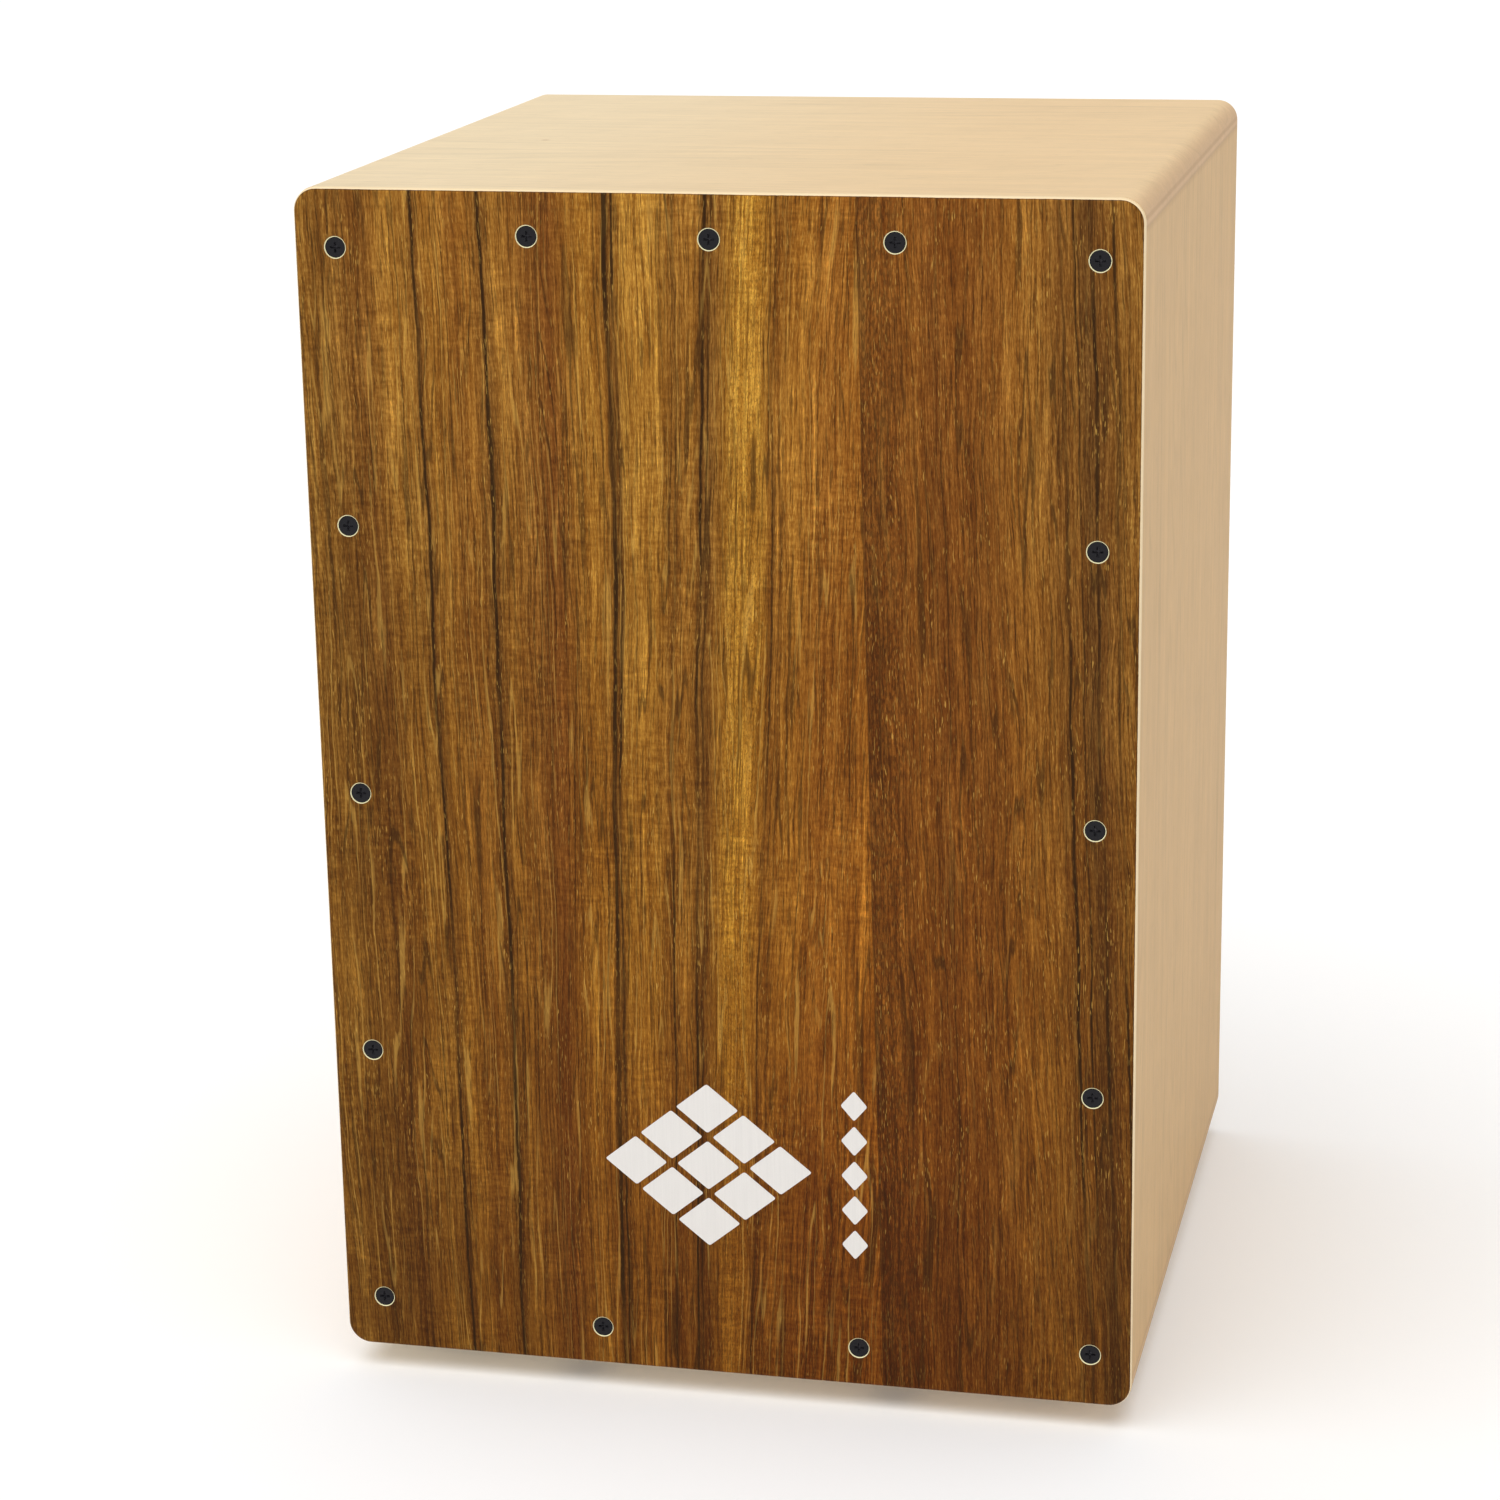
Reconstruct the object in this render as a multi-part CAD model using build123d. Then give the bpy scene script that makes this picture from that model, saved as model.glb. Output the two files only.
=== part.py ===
"""Cajon: a box drum with a screwed-on playing plate, a sound hole and adjustable strings.

Frame: the origin is the centre of the footprint on the floor. +X is right as seen from the
front, the playing plate faces -Y, and +Z is up. Sizes are in millimetres.
"""

import os

from build123d import *

# Body
WIDTH = 300.0
DEPTH = 300.0
BODY_HEIGHT = 441.0
FOOT_HEIGHT = 9.0
PANEL_T = 10.5
LONG_EDGE_R = 8.0
REAR_EDGE_R = 2.0

# Playing plate, at the front
PLATE_T = 3.0
PLATE_CORNER_R = 8.5
PLATE_RIM_R = 1.6

# Back panel, set into the box
BACK_T = 5.0
BACK_RECESS = 1.0
SOUND_HOLE_R = 60.0
SOUND_HOLE_Z = 290.0
SOUND_HOLE_EDGE_R = 1.0

# Battens that frame the front and the back
BATTEN = 18.0

# Plate screws: 3.5 x 16 countersunk wood screws with a cross recess
PLATE_SCREW_EDGE = 15.0
SIDE_SCREW_PITCH = 100.0
SIDE_SCREWS = 5
LOWEST_SIDE_SCREW = 20.0
TOP_SCREW_PITCH = 65.0
TOP_SCREW_DROP = 16.0
BOTTOM_SCREW_X = 49.0
BOTTOM_SCREW_RISE = 15.0
COUNTERSINK_R = 4.1
PLATE_SCREW_SUNK = 0.38
PLATE_SCREW_SHANK_R = 1.75
PLATE_SCREW_LENGTH = 16.0
PLATE_HOLE_R = 2.0

# Wood screws in general
PILOT_GAP = 0.05
SEAT_GAP = 0.02
SCREW_TIP = 3.0
CROSS_WIDTH = 0.9
CROSS_SPAN = 3.8
CROSS_DEPTH = 1.3
CROSS_TAPER = 10.0
PAN_CROWN = 0.6
PAN_SHOULDER = 0.45

# Strings, just behind the plate, in two V pairs
PAIR_X = 60.0
STRING_R = 0.35
STRING_TO_PLATE = 0.08
STRING_TOP_SPREAD = 36.0
STRING_FOOT_SPREAD = 12.0
STRING_BEND_R = 1.0
STRING_EDGE_GAP = 0.6
ANCHOR_SET_BACK = 2.2
BALL_R = 1.8
BALL_LENGTH = 4.0

# Hitch bar, under the top front batten
HITCH_LENGTH = 220.0
HITCH_DEPTH = 13.0
HITCH_HEIGHT = 18.0
HITCH_NOSE = 4.0
HITCH_GROOVE_WIDTH = 2.8
HITCH_GROOVE_SPARE = 0.7
HITCH_POCKET_WIDTH = 5.4
HITCH_POCKET_DEPTH = 4.6
HITCH_POCKET_HEIGHT = 4.4
HITCH_POCKET_ROOF = 2.0
HITCH_CHAMFER = 1.0
HITCH_SCREW_X = (-82.0, -44.0, 44.0, 82.0)
HITCH_SCREW_R = 2.0
HITCH_SCREW_HEAD_R = 4.0
HITCH_SCREW_LENGTH = 28.0

# Tension carriage and its guide
CARRIAGE_WIDTH = 40.0
CARRIAGE_HEIGHT = 16.0
CARRIAGE_LIP = 3.0
CARRIAGE_RELIEF = 3.4
CARRIAGE_ABOVE_BATTEN = 18.5
CARRIAGE_CHAMFER = 1.5
CARRIAGE_HOLE_R = 0.8
GUIDE_T = 1.5
GUIDE_GAP = 0.3
GUIDE_RISE = 44.0
GUIDE_CHEEK_START = 8.0
GUIDE_FRONT_GAP = 2.0
GUIDE_FOOT_GAP = 1.0
GUIDE_BEND_R = 1.35
GUIDE_SCREW_X = 13.0
GUIDE_SCREW_HEAD_R = 3.2
GUIDE_SCREW_HEAD_H = 2.2

# M6 tension bolt
BOLT_R = 3.0
BOLT_LENGTH = 65.0
BOLT_HEAD_R = 5.0
BOLT_HEAD_H = 6.0
BOLT_HEAD_CHAMFER = 0.5
BOLT_TIP_CHAMFER = 0.8
BOLT_SOCKET_AF = 5.0
BOLT_SOCKET_DEPTH = 3.0
BOLT_BORE_GAP = 0.05
BOLT_CLEARANCE_R = 3.25
BOLT_AXIS_Y = -137.5
BOLT_WASHER_R = 6.0
BOLT_WASHER_T = 1.6
BOLT_RECESS_R = 8.0
BOLT_RECESS_DEPTH = 8.0

# Rubber feet
FOOT_X = 112.0
FOOT_Y = 112.0
FOOT_TOP_R = 14.0
FOOT_BASE_R = 12.5
FOOT_RECESS_R = 6.0
FOOT_RECESS_DEPTH = 5.5
FOOT_EDGE_R = 1.0
FOOT_WASHER_R = 5.5
FOOT_WASHER_T = 1.0
FOOT_SCREW_R = 2.0
FOOT_SCREW_HEAD_R = 4.0
FOOT_SCREW_HEAD_H = 2.6
FOOT_SCREW_LENGTH = 12.0

# Planes worked out from the sizes above
FRONT = -DEPTH / 2
REAR = DEPTH / 2
PLATE_BACK = FRONT + PLATE_T
BASE = FOOT_HEIGHT
TOP = FOOT_HEIGHT + BODY_HEIGHT
FLOOR_IN = BASE + PANEL_T
CEILING_IN = TOP - PANEL_T
SIDE_IN = WIDTH / 2 - PANEL_T
BACK_OUT = REAR - BACK_RECESS
BACK_IN = BACK_OUT - BACK_T
LOW_BATTEN_TOP = FLOOR_IN + BATTEN
HIGH_BATTEN_BASE = CEILING_IN - BATTEN
BATTEN_BACK = PLATE_BACK + BATTEN
STRING_Y = PLATE_BACK + STRING_TO_PLATE + STRING_R
BRIDGE_Y = STRING_Y + STRING_R + SEAT_GAP
ANCHOR_Y = PLATE_BACK + ANCHOR_SET_BACK
HITCH_BASE = HIGH_BATTEN_BASE - HITCH_HEIGHT
UPPER_BALL_Z = HIGH_BATTEN_BASE - HITCH_POCKET_ROOF - HITCH_POCKET_HEIGHT / 2
CARRIAGE_BASE = LOW_BATTEN_TOP + CARRIAGE_ABOVE_BATTEN
CARRIAGE_TOP = CARRIAGE_BASE + CARRIAGE_HEIGHT
LOWER_BALL_Z = CARRIAGE_BASE - BALL_R - SEAT_GAP
WASHER_BASE = BASE + BOLT_RECESS_DEPTH - BOLT_WASHER_T
FOOT_WASHER_BASE = FOOT_RECESS_DEPTH - FOOT_WASHER_T

# How near to a plane an edge has to be to count as lying in it
IN_PLANE = 0.01


def block(x, y, z):
    """Box between pairs of limits along each axis."""
    size = [limits[1] - limits[0] for limits in (x, y, z)]
    middle = [(limits[1] + limits[0]) / 2 for limits in (x, y, z)]
    return Pos(*middle) * Box(*size)


def upright(x, y, z0, z1, r):
    """Vertical cylinder from z0 to z1."""
    return Pos(x, y, (z0 + z1) / 2) * Cylinder(r, z1 - z0)


def along_y(x, z, y0, y1, r):
    """Cylinder along Y from y0 to y1."""
    return Pos(x, (y0 + y1) / 2, z) * Rot(90, 0, 0) * Cylinder(r, y1 - y0)


def turned(points):
    """Solid of revolution about Z, from a profile of (radius, height) points."""
    profile = Polyline(*[(r, 0, z) for r, z in points], close=True)
    return revolve(make_face(profile), Axis.Z)


def rounded_slab(y0, y1, corner_r):
    """Upright slab with the outline of the body, between two depths."""
    outline = Plane.XZ * RectangleRounded(WIDTH, BODY_HEIGHT, corner_r)
    slab = extrude(outline, amount=y1 - y0, dir=(0, 1, 0))
    return Pos(0, y0, BASE + BODY_HEIGHT / 2) * slab


def edges_at_y(solid, y):
    """Edges of a solid that lie wholly in the plane at this depth."""
    return solid.edges().filter_by_position(Axis.Y, y - IN_PLANE, y + IN_PLANE)


def plate_screw_places():
    """(x, z) of the plate screws, by the batten that each set bites into."""
    side_x = WIDTH / 2 - PLATE_SCREW_EDGE
    side_z = [BASE + LOWEST_SIDE_SCREW + i * SIDE_SCREW_PITCH for i in range(SIDE_SCREWS)]
    top_z = TOP - TOP_SCREW_DROP
    bottom_z = BASE + BOTTOM_SCREW_RISE
    low, high = side_z[0], side_z[-1]
    return {
        "top": [(-side_x, high), (side_x, high)]
        + [(i * TOP_SCREW_PITCH, top_z) for i in (-1, 0, 1)],
        "left": [(-side_x, z) for z in side_z[1:-1]],
        "right": [(side_x, z) for z in side_z[1:-1]],
        "bottom": [(-side_x, low), (side_x, low)]
        + [(x, bottom_z) for x in (-BOTTOM_SCREW_X, BOTTOM_SCREW_X)],
    }


def crossed(screw, top):
    """Screw with a tapered cross recess cut into its head from the given height."""
    for size in ((CROSS_SPAN, CROSS_WIDTH), (CROSS_WIDTH, CROSS_SPAN)):
        slot = extrude(Rectangle(*size), amount=CROSS_DEPTH, taper=CROSS_TAPER)
        screw -= Pos(0, 0, top) * Rot(180, 0, 0) * slot
    return screw


def countersunk_screw(head_r, shank_r, length):
    """Countersunk wood screw: head flat at z = 0, point at z = -length, cross recess on top."""
    cone = head_r - shank_r
    body = turned(
        [
            (0, 0),
            (head_r, 0),
            (shank_r, -cone),
            (shank_r, SCREW_TIP - length),
            (0, -length),
        ]
    )
    return crossed(body, 0)


def pan_screw(head_r, head_h, shank_r, length):
    """Pan-head wood screw: head from z = 0 up, point at z = -length, cross recess on top."""
    body = turned(
        [
            (0, head_h),
            (head_r * PAN_CROWN, head_h),
            (head_r, head_h * PAN_SHOULDER),
            (head_r, 0),
            (shank_r, 0),
            (shank_r, SCREW_TIP - length),
            (0, -length),
        ]
    )
    return crossed(body, head_h)


def ring(outer_r, inner_r, thickness):
    """Flat washer standing on z = 0."""
    return extrude(Circle(outer_r) - Circle(inner_r), amount=thickness)


def front_plate():
    """Thin playing plate: rounded rim at the front, countersunk holes round its edge."""
    plate = rounded_slab(FRONT, PLATE_BACK, PLATE_CORNER_R)
    plate = fillet(edges_at_y(plate, FRONT), PLATE_RIM_R)
    cone_h = COUNTERSINK_R - PLATE_HOLE_R
    hole = turned(
        [
            (0, 0),
            (COUNTERSINK_R, 0),
            (PLATE_HOLE_R, -cone_h),
            (PLATE_HOLE_R, -PLATE_T),
            (0, -PLATE_T),
        ]
    )
    for places in plate_screw_places().values():
        for x, z in places:
            plate -= Pos(x, FRONT, z) * Rot(90, 0, 0) * hole
    return plate


def plate_screws(places):
    """Plate screws in their countersinks, each a solid of its own."""
    head_r = COUNTERSINK_R - PLATE_SCREW_SUNK - SEAT_GAP
    screw = countersunk_screw(head_r, PLATE_SCREW_SHANK_R, PLATE_SCREW_LENGTH)
    depth = FRONT + PLATE_SCREW_SUNK
    return [Pos(x, depth, z) * Rot(90, 0, 0) * screw for x, z in places]


def shell_panels():
    """Top, bottom and side panels cut from one rounded box; top and bottom overlap the sides."""
    outer = rounded_slab(PLATE_BACK, REAR, LONG_EDGE_R)
    outer = fillet(edges_at_y(outer, REAR), REAR_EDGE_R)
    wide = (-WIDTH / 2, WIDTH / 2)
    deep = (PLATE_BACK, REAR)
    sides = (FLOOR_IN, CEILING_IN)
    return {
        "top_panel": outer & block(wide, deep, (CEILING_IN, TOP)),
        "bottom_panel": bored_bottom(outer & block(wide, deep, (BASE, FLOOR_IN))),
        "left_panel": outer & block((-WIDTH / 2, -SIDE_IN), deep, sides),
        "right_panel": outer & block((SIDE_IN, WIDTH / 2), deep, sides),
    }


def foot_places():
    """(x, y) of the four feet, by name."""
    return {
        "foot_front_left": (-FOOT_X, -FOOT_Y),
        "foot_front_right": (FOOT_X, -FOOT_Y),
        "foot_rear_left": (-FOOT_X, FOOT_Y),
        "foot_rear_right": (FOOT_X, FOOT_Y),
    }


def bored_bottom(panel):
    """Bottom panel with the recesses for the tension bolts and the pilots for the foot screws."""
    for x in (-PAIR_X, PAIR_X):
        panel -= upright(x, BOLT_AXIS_Y, BASE, BASE + BOLT_RECESS_DEPTH, BOLT_RECESS_R)
        panel -= upright(x, BOLT_AXIS_Y, BASE, FLOOR_IN, BOLT_CLEARANCE_R)
    reach = FOOT_WASHER_BASE + FOOT_SCREW_LENGTH
    for x, y in foot_places().values():
        panel -= upright(x, y, BASE, reach + PILOT_GAP, FOOT_SCREW_R + PILOT_GAP)
    return panel


def back_panel():
    """Back panel, set into the box, with its rounded sound hole."""
    panel = block((-SIDE_IN, SIDE_IN), (BACK_IN, BACK_OUT), (FLOOR_IN, CEILING_IN))
    panel -= along_y(0, SOUND_HOLE_Z, BACK_IN, BACK_OUT, SOUND_HOLE_R)
    rims = panel.edges().filter_by(GeomType.CIRCLE)
    return fillet(rims, SOUND_HOLE_EDGE_R)


def battens():
    """Front and rear frames: full-width rails with stiles between them."""
    front = (PLATE_BACK, BATTEN_BACK)
    rear = (BACK_IN - BATTEN, BACK_IN)
    rail = (-SIDE_IN, SIDE_IN)
    left = (-SIDE_IN, BATTEN - SIDE_IN)
    right = (SIDE_IN - BATTEN, SIDE_IN)
    low = (FLOOR_IN, LOW_BATTEN_TOP)
    high = (HIGH_BATTEN_BASE, CEILING_IN)
    between = (LOW_BATTEN_TOP, HIGH_BATTEN_BASE)
    made = {}
    for name, depth in (("front", front), ("rear", rear)):
        made[f"{name}_batten_top"] = block(rail, depth, high)
        made[f"{name}_batten_bottom"] = block(rail, depth, low)
        made[f"{name}_batten_left"] = block(left, depth, between)
        made[f"{name}_batten_right"] = block(right, depth, between)
    return drilled(made)


def drilled(made):
    """The battens with every screw's pilot and the tension bolts' holes."""
    reach = FRONT + PLATE_SCREW_SUNK + PLATE_SCREW_LENGTH
    for side, places in plate_screw_places().items():
        for x, z in places:
            pilot = along_y(x, z, PLATE_BACK, reach, PLATE_SCREW_SHANK_R + PILOT_GAP)
            made[f"front_batten_{side}"] -= pilot
    hitch_reach = HITCH_BASE + HITCH_SCREW_LENGTH
    for x in HITCH_SCREW_X:
        pilot = upright(x, BOLT_AXIS_Y, HIGH_BATTEN_BASE, hitch_reach, HITCH_SCREW_R + PILOT_GAP)
        made["front_batten_top"] -= pilot
    guide_reach = BATTEN_BACK + GUIDE_T - PLATE_SCREW_LENGTH
    for x, z in guide_screw_places():
        pilot = along_y(x, z, guide_reach, BATTEN_BACK, PLATE_SCREW_SHANK_R + PILOT_GAP)
        made["front_batten_bottom"] -= pilot
    for x in (-PAIR_X, PAIR_X):
        hole = upright(x, BOLT_AXIS_Y, FLOOR_IN, LOW_BATTEN_TOP, BOLT_CLEARANCE_R)
        made["front_batten_bottom"] -= hole
    return made


def string_ends():
    """x of each string's upper and lower end, by name."""
    ends = {}
    for side, sign in (("left", -1), ("right", 1)):
        for place, away in (("outer", sign), ("inner", -sign)):
            top_x = sign * PAIR_X + away * STRING_TOP_SPREAD
            foot_x = sign * PAIR_X + away * STRING_FOOT_SPREAD
            ends[f"string_{side}_{place}"] = (top_x, foot_x)
    return ends


def string_wire(top_x, foot_x):
    """Taut wire from a lower ball over the two bridging edges to an upper ball."""
    lip_top = CARRIAGE_BASE + CARRIAGE_LIP
    nose_top = HITCH_BASE + HITCH_NOSE
    carriage_edge = CARRIAGE_TOP - CARRIAGE_LIP
    foot_z = LOWER_BALL_Z + BALL_R
    head_z = UPPER_BALL_Z - BALL_R
    lean = (top_x - foot_x) / (head_z - lip_top)

    def at(y, z):
        return (foot_x + lean * (z - lip_top), y, z)

    route = FilletPolyline(
        (foot_x, ANCHOR_Y, foot_z),
        (foot_x, ANCHOR_Y, lip_top + STRING_EDGE_GAP),
        at(STRING_Y, carriage_edge - STRING_EDGE_GAP),
        at(STRING_Y, nose_top + STRING_EDGE_GAP),
        at(ANCHOR_Y, head_z - BALL_R),
        (top_x, ANCHOR_Y, head_z),
        radius=STRING_BEND_R,
    )
    start = Plane(origin=route @ 0, z_dir=route % 0)
    return sweep(start * Circle(STRING_R), path=route)


def ball_ends(places, z):
    """Brass barrels, lying along X, one at each place."""
    return [Pos(x, ANCHOR_Y, z) * Rot(0, 90, 0) * Cylinder(BALL_R, BALL_LENGTH) for x in places]


def hitch_bar():
    """Bar under the top batten: ball pockets in its face, and a nose that the strings bend over."""
    bar = block(
        (-HITCH_LENGTH / 2, HITCH_LENGTH / 2),
        (BRIDGE_Y, BRIDGE_Y + HITCH_DEPTH),
        (HITCH_BASE, HIGH_BATTEN_BASE),
    )
    bar = chamfer(bar.edges().filter_by(Axis.Z), HITCH_CHAMFER)
    half_pocket = HITCH_POCKET_WIDTH / 2
    half_groove = HITCH_GROOVE_WIDTH / 2
    pocket_y = (BRIDGE_Y, BRIDGE_Y + HITCH_POCKET_DEPTH)
    pocket_z = (UPPER_BALL_Z - HITCH_POCKET_HEIGHT / 2, UPPER_BALL_Z + HITCH_POCKET_HEIGHT / 2)
    groove_y = (BRIDGE_Y, ANCHOR_Y + HITCH_GROOVE_SPARE)
    groove_z = (HITCH_BASE + HITCH_NOSE, UPPER_BALL_Z)
    for top_x, _ in string_ends().values():
        bar -= block((top_x - half_pocket, top_x + half_pocket), pocket_y, pocket_z)
        bar -= block((top_x - half_groove, top_x + half_groove), groove_y, groove_z)
    hole_r = HITCH_SCREW_R + PILOT_GAP
    mouth_r = HITCH_SCREW_HEAD_R + SEAT_GAP
    cone_h = mouth_r - hole_r
    hole = turned([(0, 0), (mouth_r, 0), (hole_r, cone_h), (hole_r, HITCH_HEIGHT), (0, HITCH_HEIGHT)])
    for x in HITCH_SCREW_X:
        bar -= Pos(x, BOLT_AXIS_Y, HITCH_BASE) * hole
    return bar


def hitch_screws():
    """Screws that hold the hitch bar up against the top batten."""
    screw = countersunk_screw(HITCH_SCREW_HEAD_R, HITCH_SCREW_R, HITCH_SCREW_LENGTH)
    return [Pos(x, BOLT_AXIS_Y, HITCH_BASE) * Rot(180, 0, 0) * screw for x in HITCH_SCREW_X]


def carriage(pair_x):
    """Block on the tension bolt: strings bend over its top lip and go through its bottom lip."""
    across = (pair_x - CARRIAGE_WIDTH / 2, pair_x + CARRIAGE_WIDTH / 2)
    lip_top = CARRIAGE_BASE + CARRIAGE_LIP
    body = block(across, (BRIDGE_Y, BATTEN_BACK - GUIDE_GAP), (CARRIAGE_BASE, CARRIAGE_TOP))
    body = chamfer(body.edges().filter_by(Axis.Z), CARRIAGE_CHAMFER)
    relief_y = (BRIDGE_Y, BRIDGE_Y + CARRIAGE_RELIEF)
    body -= block(across, relief_y, (lip_top, CARRIAGE_TOP - CARRIAGE_LIP))
    body -= upright(pair_x, BOLT_AXIS_Y, CARRIAGE_BASE, CARRIAGE_TOP, BOLT_R + BOLT_BORE_GAP)
    for x in (pair_x - STRING_FOOT_SPREAD, pair_x + STRING_FOOT_SPREAD):
        body -= upright(x, ANCHOR_Y, CARRIAGE_BASE, lip_top, CARRIAGE_HOLE_R)
    return body


def guide_screw_places():
    """(x, z) of the screws that hold the two guides to the lower batten."""
    z = FLOOR_IN + BATTEN / 2
    offsets = (-GUIDE_SCREW_X, GUIDE_SCREW_X)
    return [(pair_x + offset, z) for pair_x in (-PAIR_X, PAIR_X) for offset in offsets]


def tension_guide(pair_x):
    """Bent steel guide behind a carriage, with a cheek at each side that stops it turning."""
    inner = CARRIAGE_WIDTH / 2 + GUIDE_GAP
    outer = inner + GUIDE_T
    rear = BATTEN_BACK + GUIDE_T
    head = LOW_BATTEN_TOP + GUIDE_RISE
    guide = block(
        (pair_x - outer, pair_x + outer),
        (BATTEN_BACK, rear),
        (FLOOR_IN + GUIDE_FOOT_GAP, head),
    )
    cheek_y = (PLATE_BACK + GUIDE_FRONT_GAP, rear)
    cheek_z = (LOW_BATTEN_TOP + GUIDE_CHEEK_START, head)
    guide += block((pair_x - outer, pair_x - inner), cheek_y, cheek_z)
    guide += block((pair_x + inner, pair_x + outer), cheek_y, cheek_z)
    guide = fillet(edges_at_y(guide, rear).filter_by(Axis.Z), GUIDE_BEND_R)
    for x, z in guide_screw_places():
        guide -= along_y(x, z, BATTEN_BACK, rear, PLATE_SCREW_SHANK_R + PILOT_GAP)
    return guide


def guide_screws():
    """Pan-head screws that hold the guides."""
    screw = pan_screw(
        GUIDE_SCREW_HEAD_R, GUIDE_SCREW_HEAD_H, PLATE_SCREW_SHANK_R, PLATE_SCREW_LENGTH
    )
    rear = BATTEN_BACK + GUIDE_T
    return [Pos(x, rear, z) * Rot(-90, 0, 0) * screw for x, z in guide_screw_places()]


def tension_bolt(pair_x):
    """M6 socket-head bolt, head down in the bottom panel, with its hex socket."""
    bolt = turned(
        [
            (0, -BOLT_HEAD_H),
            (BOLT_HEAD_R - BOLT_HEAD_CHAMFER, -BOLT_HEAD_H),
            (BOLT_HEAD_R, BOLT_HEAD_CHAMFER - BOLT_HEAD_H),
            (BOLT_HEAD_R, 0),
            (BOLT_R, 0),
            (BOLT_R, BOLT_LENGTH - BOLT_TIP_CHAMFER),
            (BOLT_R - BOLT_TIP_CHAMFER, BOLT_LENGTH),
            (0, BOLT_LENGTH),
        ]
    )
    hexagon = RegularPolygon(BOLT_SOCKET_AF / 2, 6, major_radius=False)
    socket = Pos(0, 0, -BOLT_HEAD_H) * extrude(hexagon, amount=BOLT_SOCKET_DEPTH)
    return Pos(pair_x, BOLT_AXIS_Y, WASHER_BASE) * (bolt - socket)


def bolt_washers():
    """Washers under the heads of the tension bolts."""
    washer = ring(BOLT_WASHER_R, BOLT_CLEARANCE_R, BOLT_WASHER_T)
    return [Pos(x, BOLT_AXIS_Y, WASHER_BASE) * washer for x in (-PAIR_X, PAIR_X)]


def rubber_foot(x, y):
    """Tapered rubber foot with a recess for its screw."""
    foot = turned(
        [
            (FOOT_SCREW_R + PILOT_GAP, FOOT_RECESS_DEPTH),
            (FOOT_RECESS_R, FOOT_RECESS_DEPTH),
            (FOOT_RECESS_R, 0),
            (FOOT_BASE_R - FOOT_EDGE_R, 0),
            (FOOT_BASE_R, FOOT_EDGE_R),
            (FOOT_TOP_R, FOOT_HEIGHT - FOOT_EDGE_R),
            (FOOT_TOP_R, FOOT_HEIGHT),
            (FOOT_SCREW_R + PILOT_GAP, FOOT_HEIGHT),
        ]
    )
    return Pos(x, y, 0) * foot


def foot_washers():
    """Washers inside the feet."""
    washer = ring(FOOT_WASHER_R, FOOT_SCREW_R + PILOT_GAP, FOOT_WASHER_T)
    return [Pos(x, y, FOOT_WASHER_BASE) * washer for x, y in foot_places().values()]


def foot_screws():
    """Screws that hold the feet to the bottom panel."""
    screw = pan_screw(FOOT_SCREW_HEAD_R, FOOT_SCREW_HEAD_H, FOOT_SCREW_R, FOOT_SCREW_LENGTH)
    flip = Rot(180, 0, 0)
    return [Pos(x, y, FOOT_WASHER_BASE) * flip * screw for x, y in foot_places().values()]


def all_nodes():
    """Every node of the cajon, by name: a solid, or a list of solids."""
    nodes = {"front_plate": front_plate(), "back_panel": back_panel()}
    nodes.update(shell_panels())
    nodes.update(battens())
    for side, places in plate_screw_places().items():
        nodes[f"plate_screws_{side}"] = plate_screws(places)
    nodes["string_hitch_bar"] = hitch_bar()
    nodes["hitch_screws"] = hitch_screws()
    ends = string_ends()
    for name, (top_x, foot_x) in ends.items():
        nodes[name] = string_wire(top_x, foot_x)
    nodes["upper_ball_ends"] = ball_ends([top for top, _ in ends.values()], UPPER_BALL_Z)
    for side, pair_x in (("left", -PAIR_X), ("right", PAIR_X)):
        feet = [pair_x - STRING_FOOT_SPREAD, pair_x + STRING_FOOT_SPREAD]
        nodes[f"lower_ball_ends_{side}"] = ball_ends(feet, LOWER_BALL_Z)
        nodes[f"tension_carriage_{side}"] = carriage(pair_x)
        nodes[f"tension_guide_{side}"] = tension_guide(pair_x)
        nodes[f"tension_bolt_{side}"] = tension_bolt(pair_x)
    nodes["guide_screws"] = guide_screws()
    nodes["bolt_washers"] = bolt_washers()
    for name, (x, y) in foot_places().items():
        nodes[name] = rubber_foot(x, y)
    nodes["foot_washers"] = foot_washers()
    nodes["foot_screws"] = foot_screws()
    return nodes


os.makedirs("parts", exist_ok=True)
for node_name, shape in all_nodes().items():
    if isinstance(shape, list):
        shape = Compound(children=shape)
    export_step(shape, f"parts/{node_name}.step")
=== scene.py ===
"""Cajon: the looks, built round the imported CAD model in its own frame, in metres.

The playing plate faces -Y, +X is right as seen from the front and +Z is up. Shader sizes are in
millimetres: every material reads the piece's own coordinates times a thousand.
"""

import math

import bpy
from mathutils import Euler, Matrix, Vector


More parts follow.
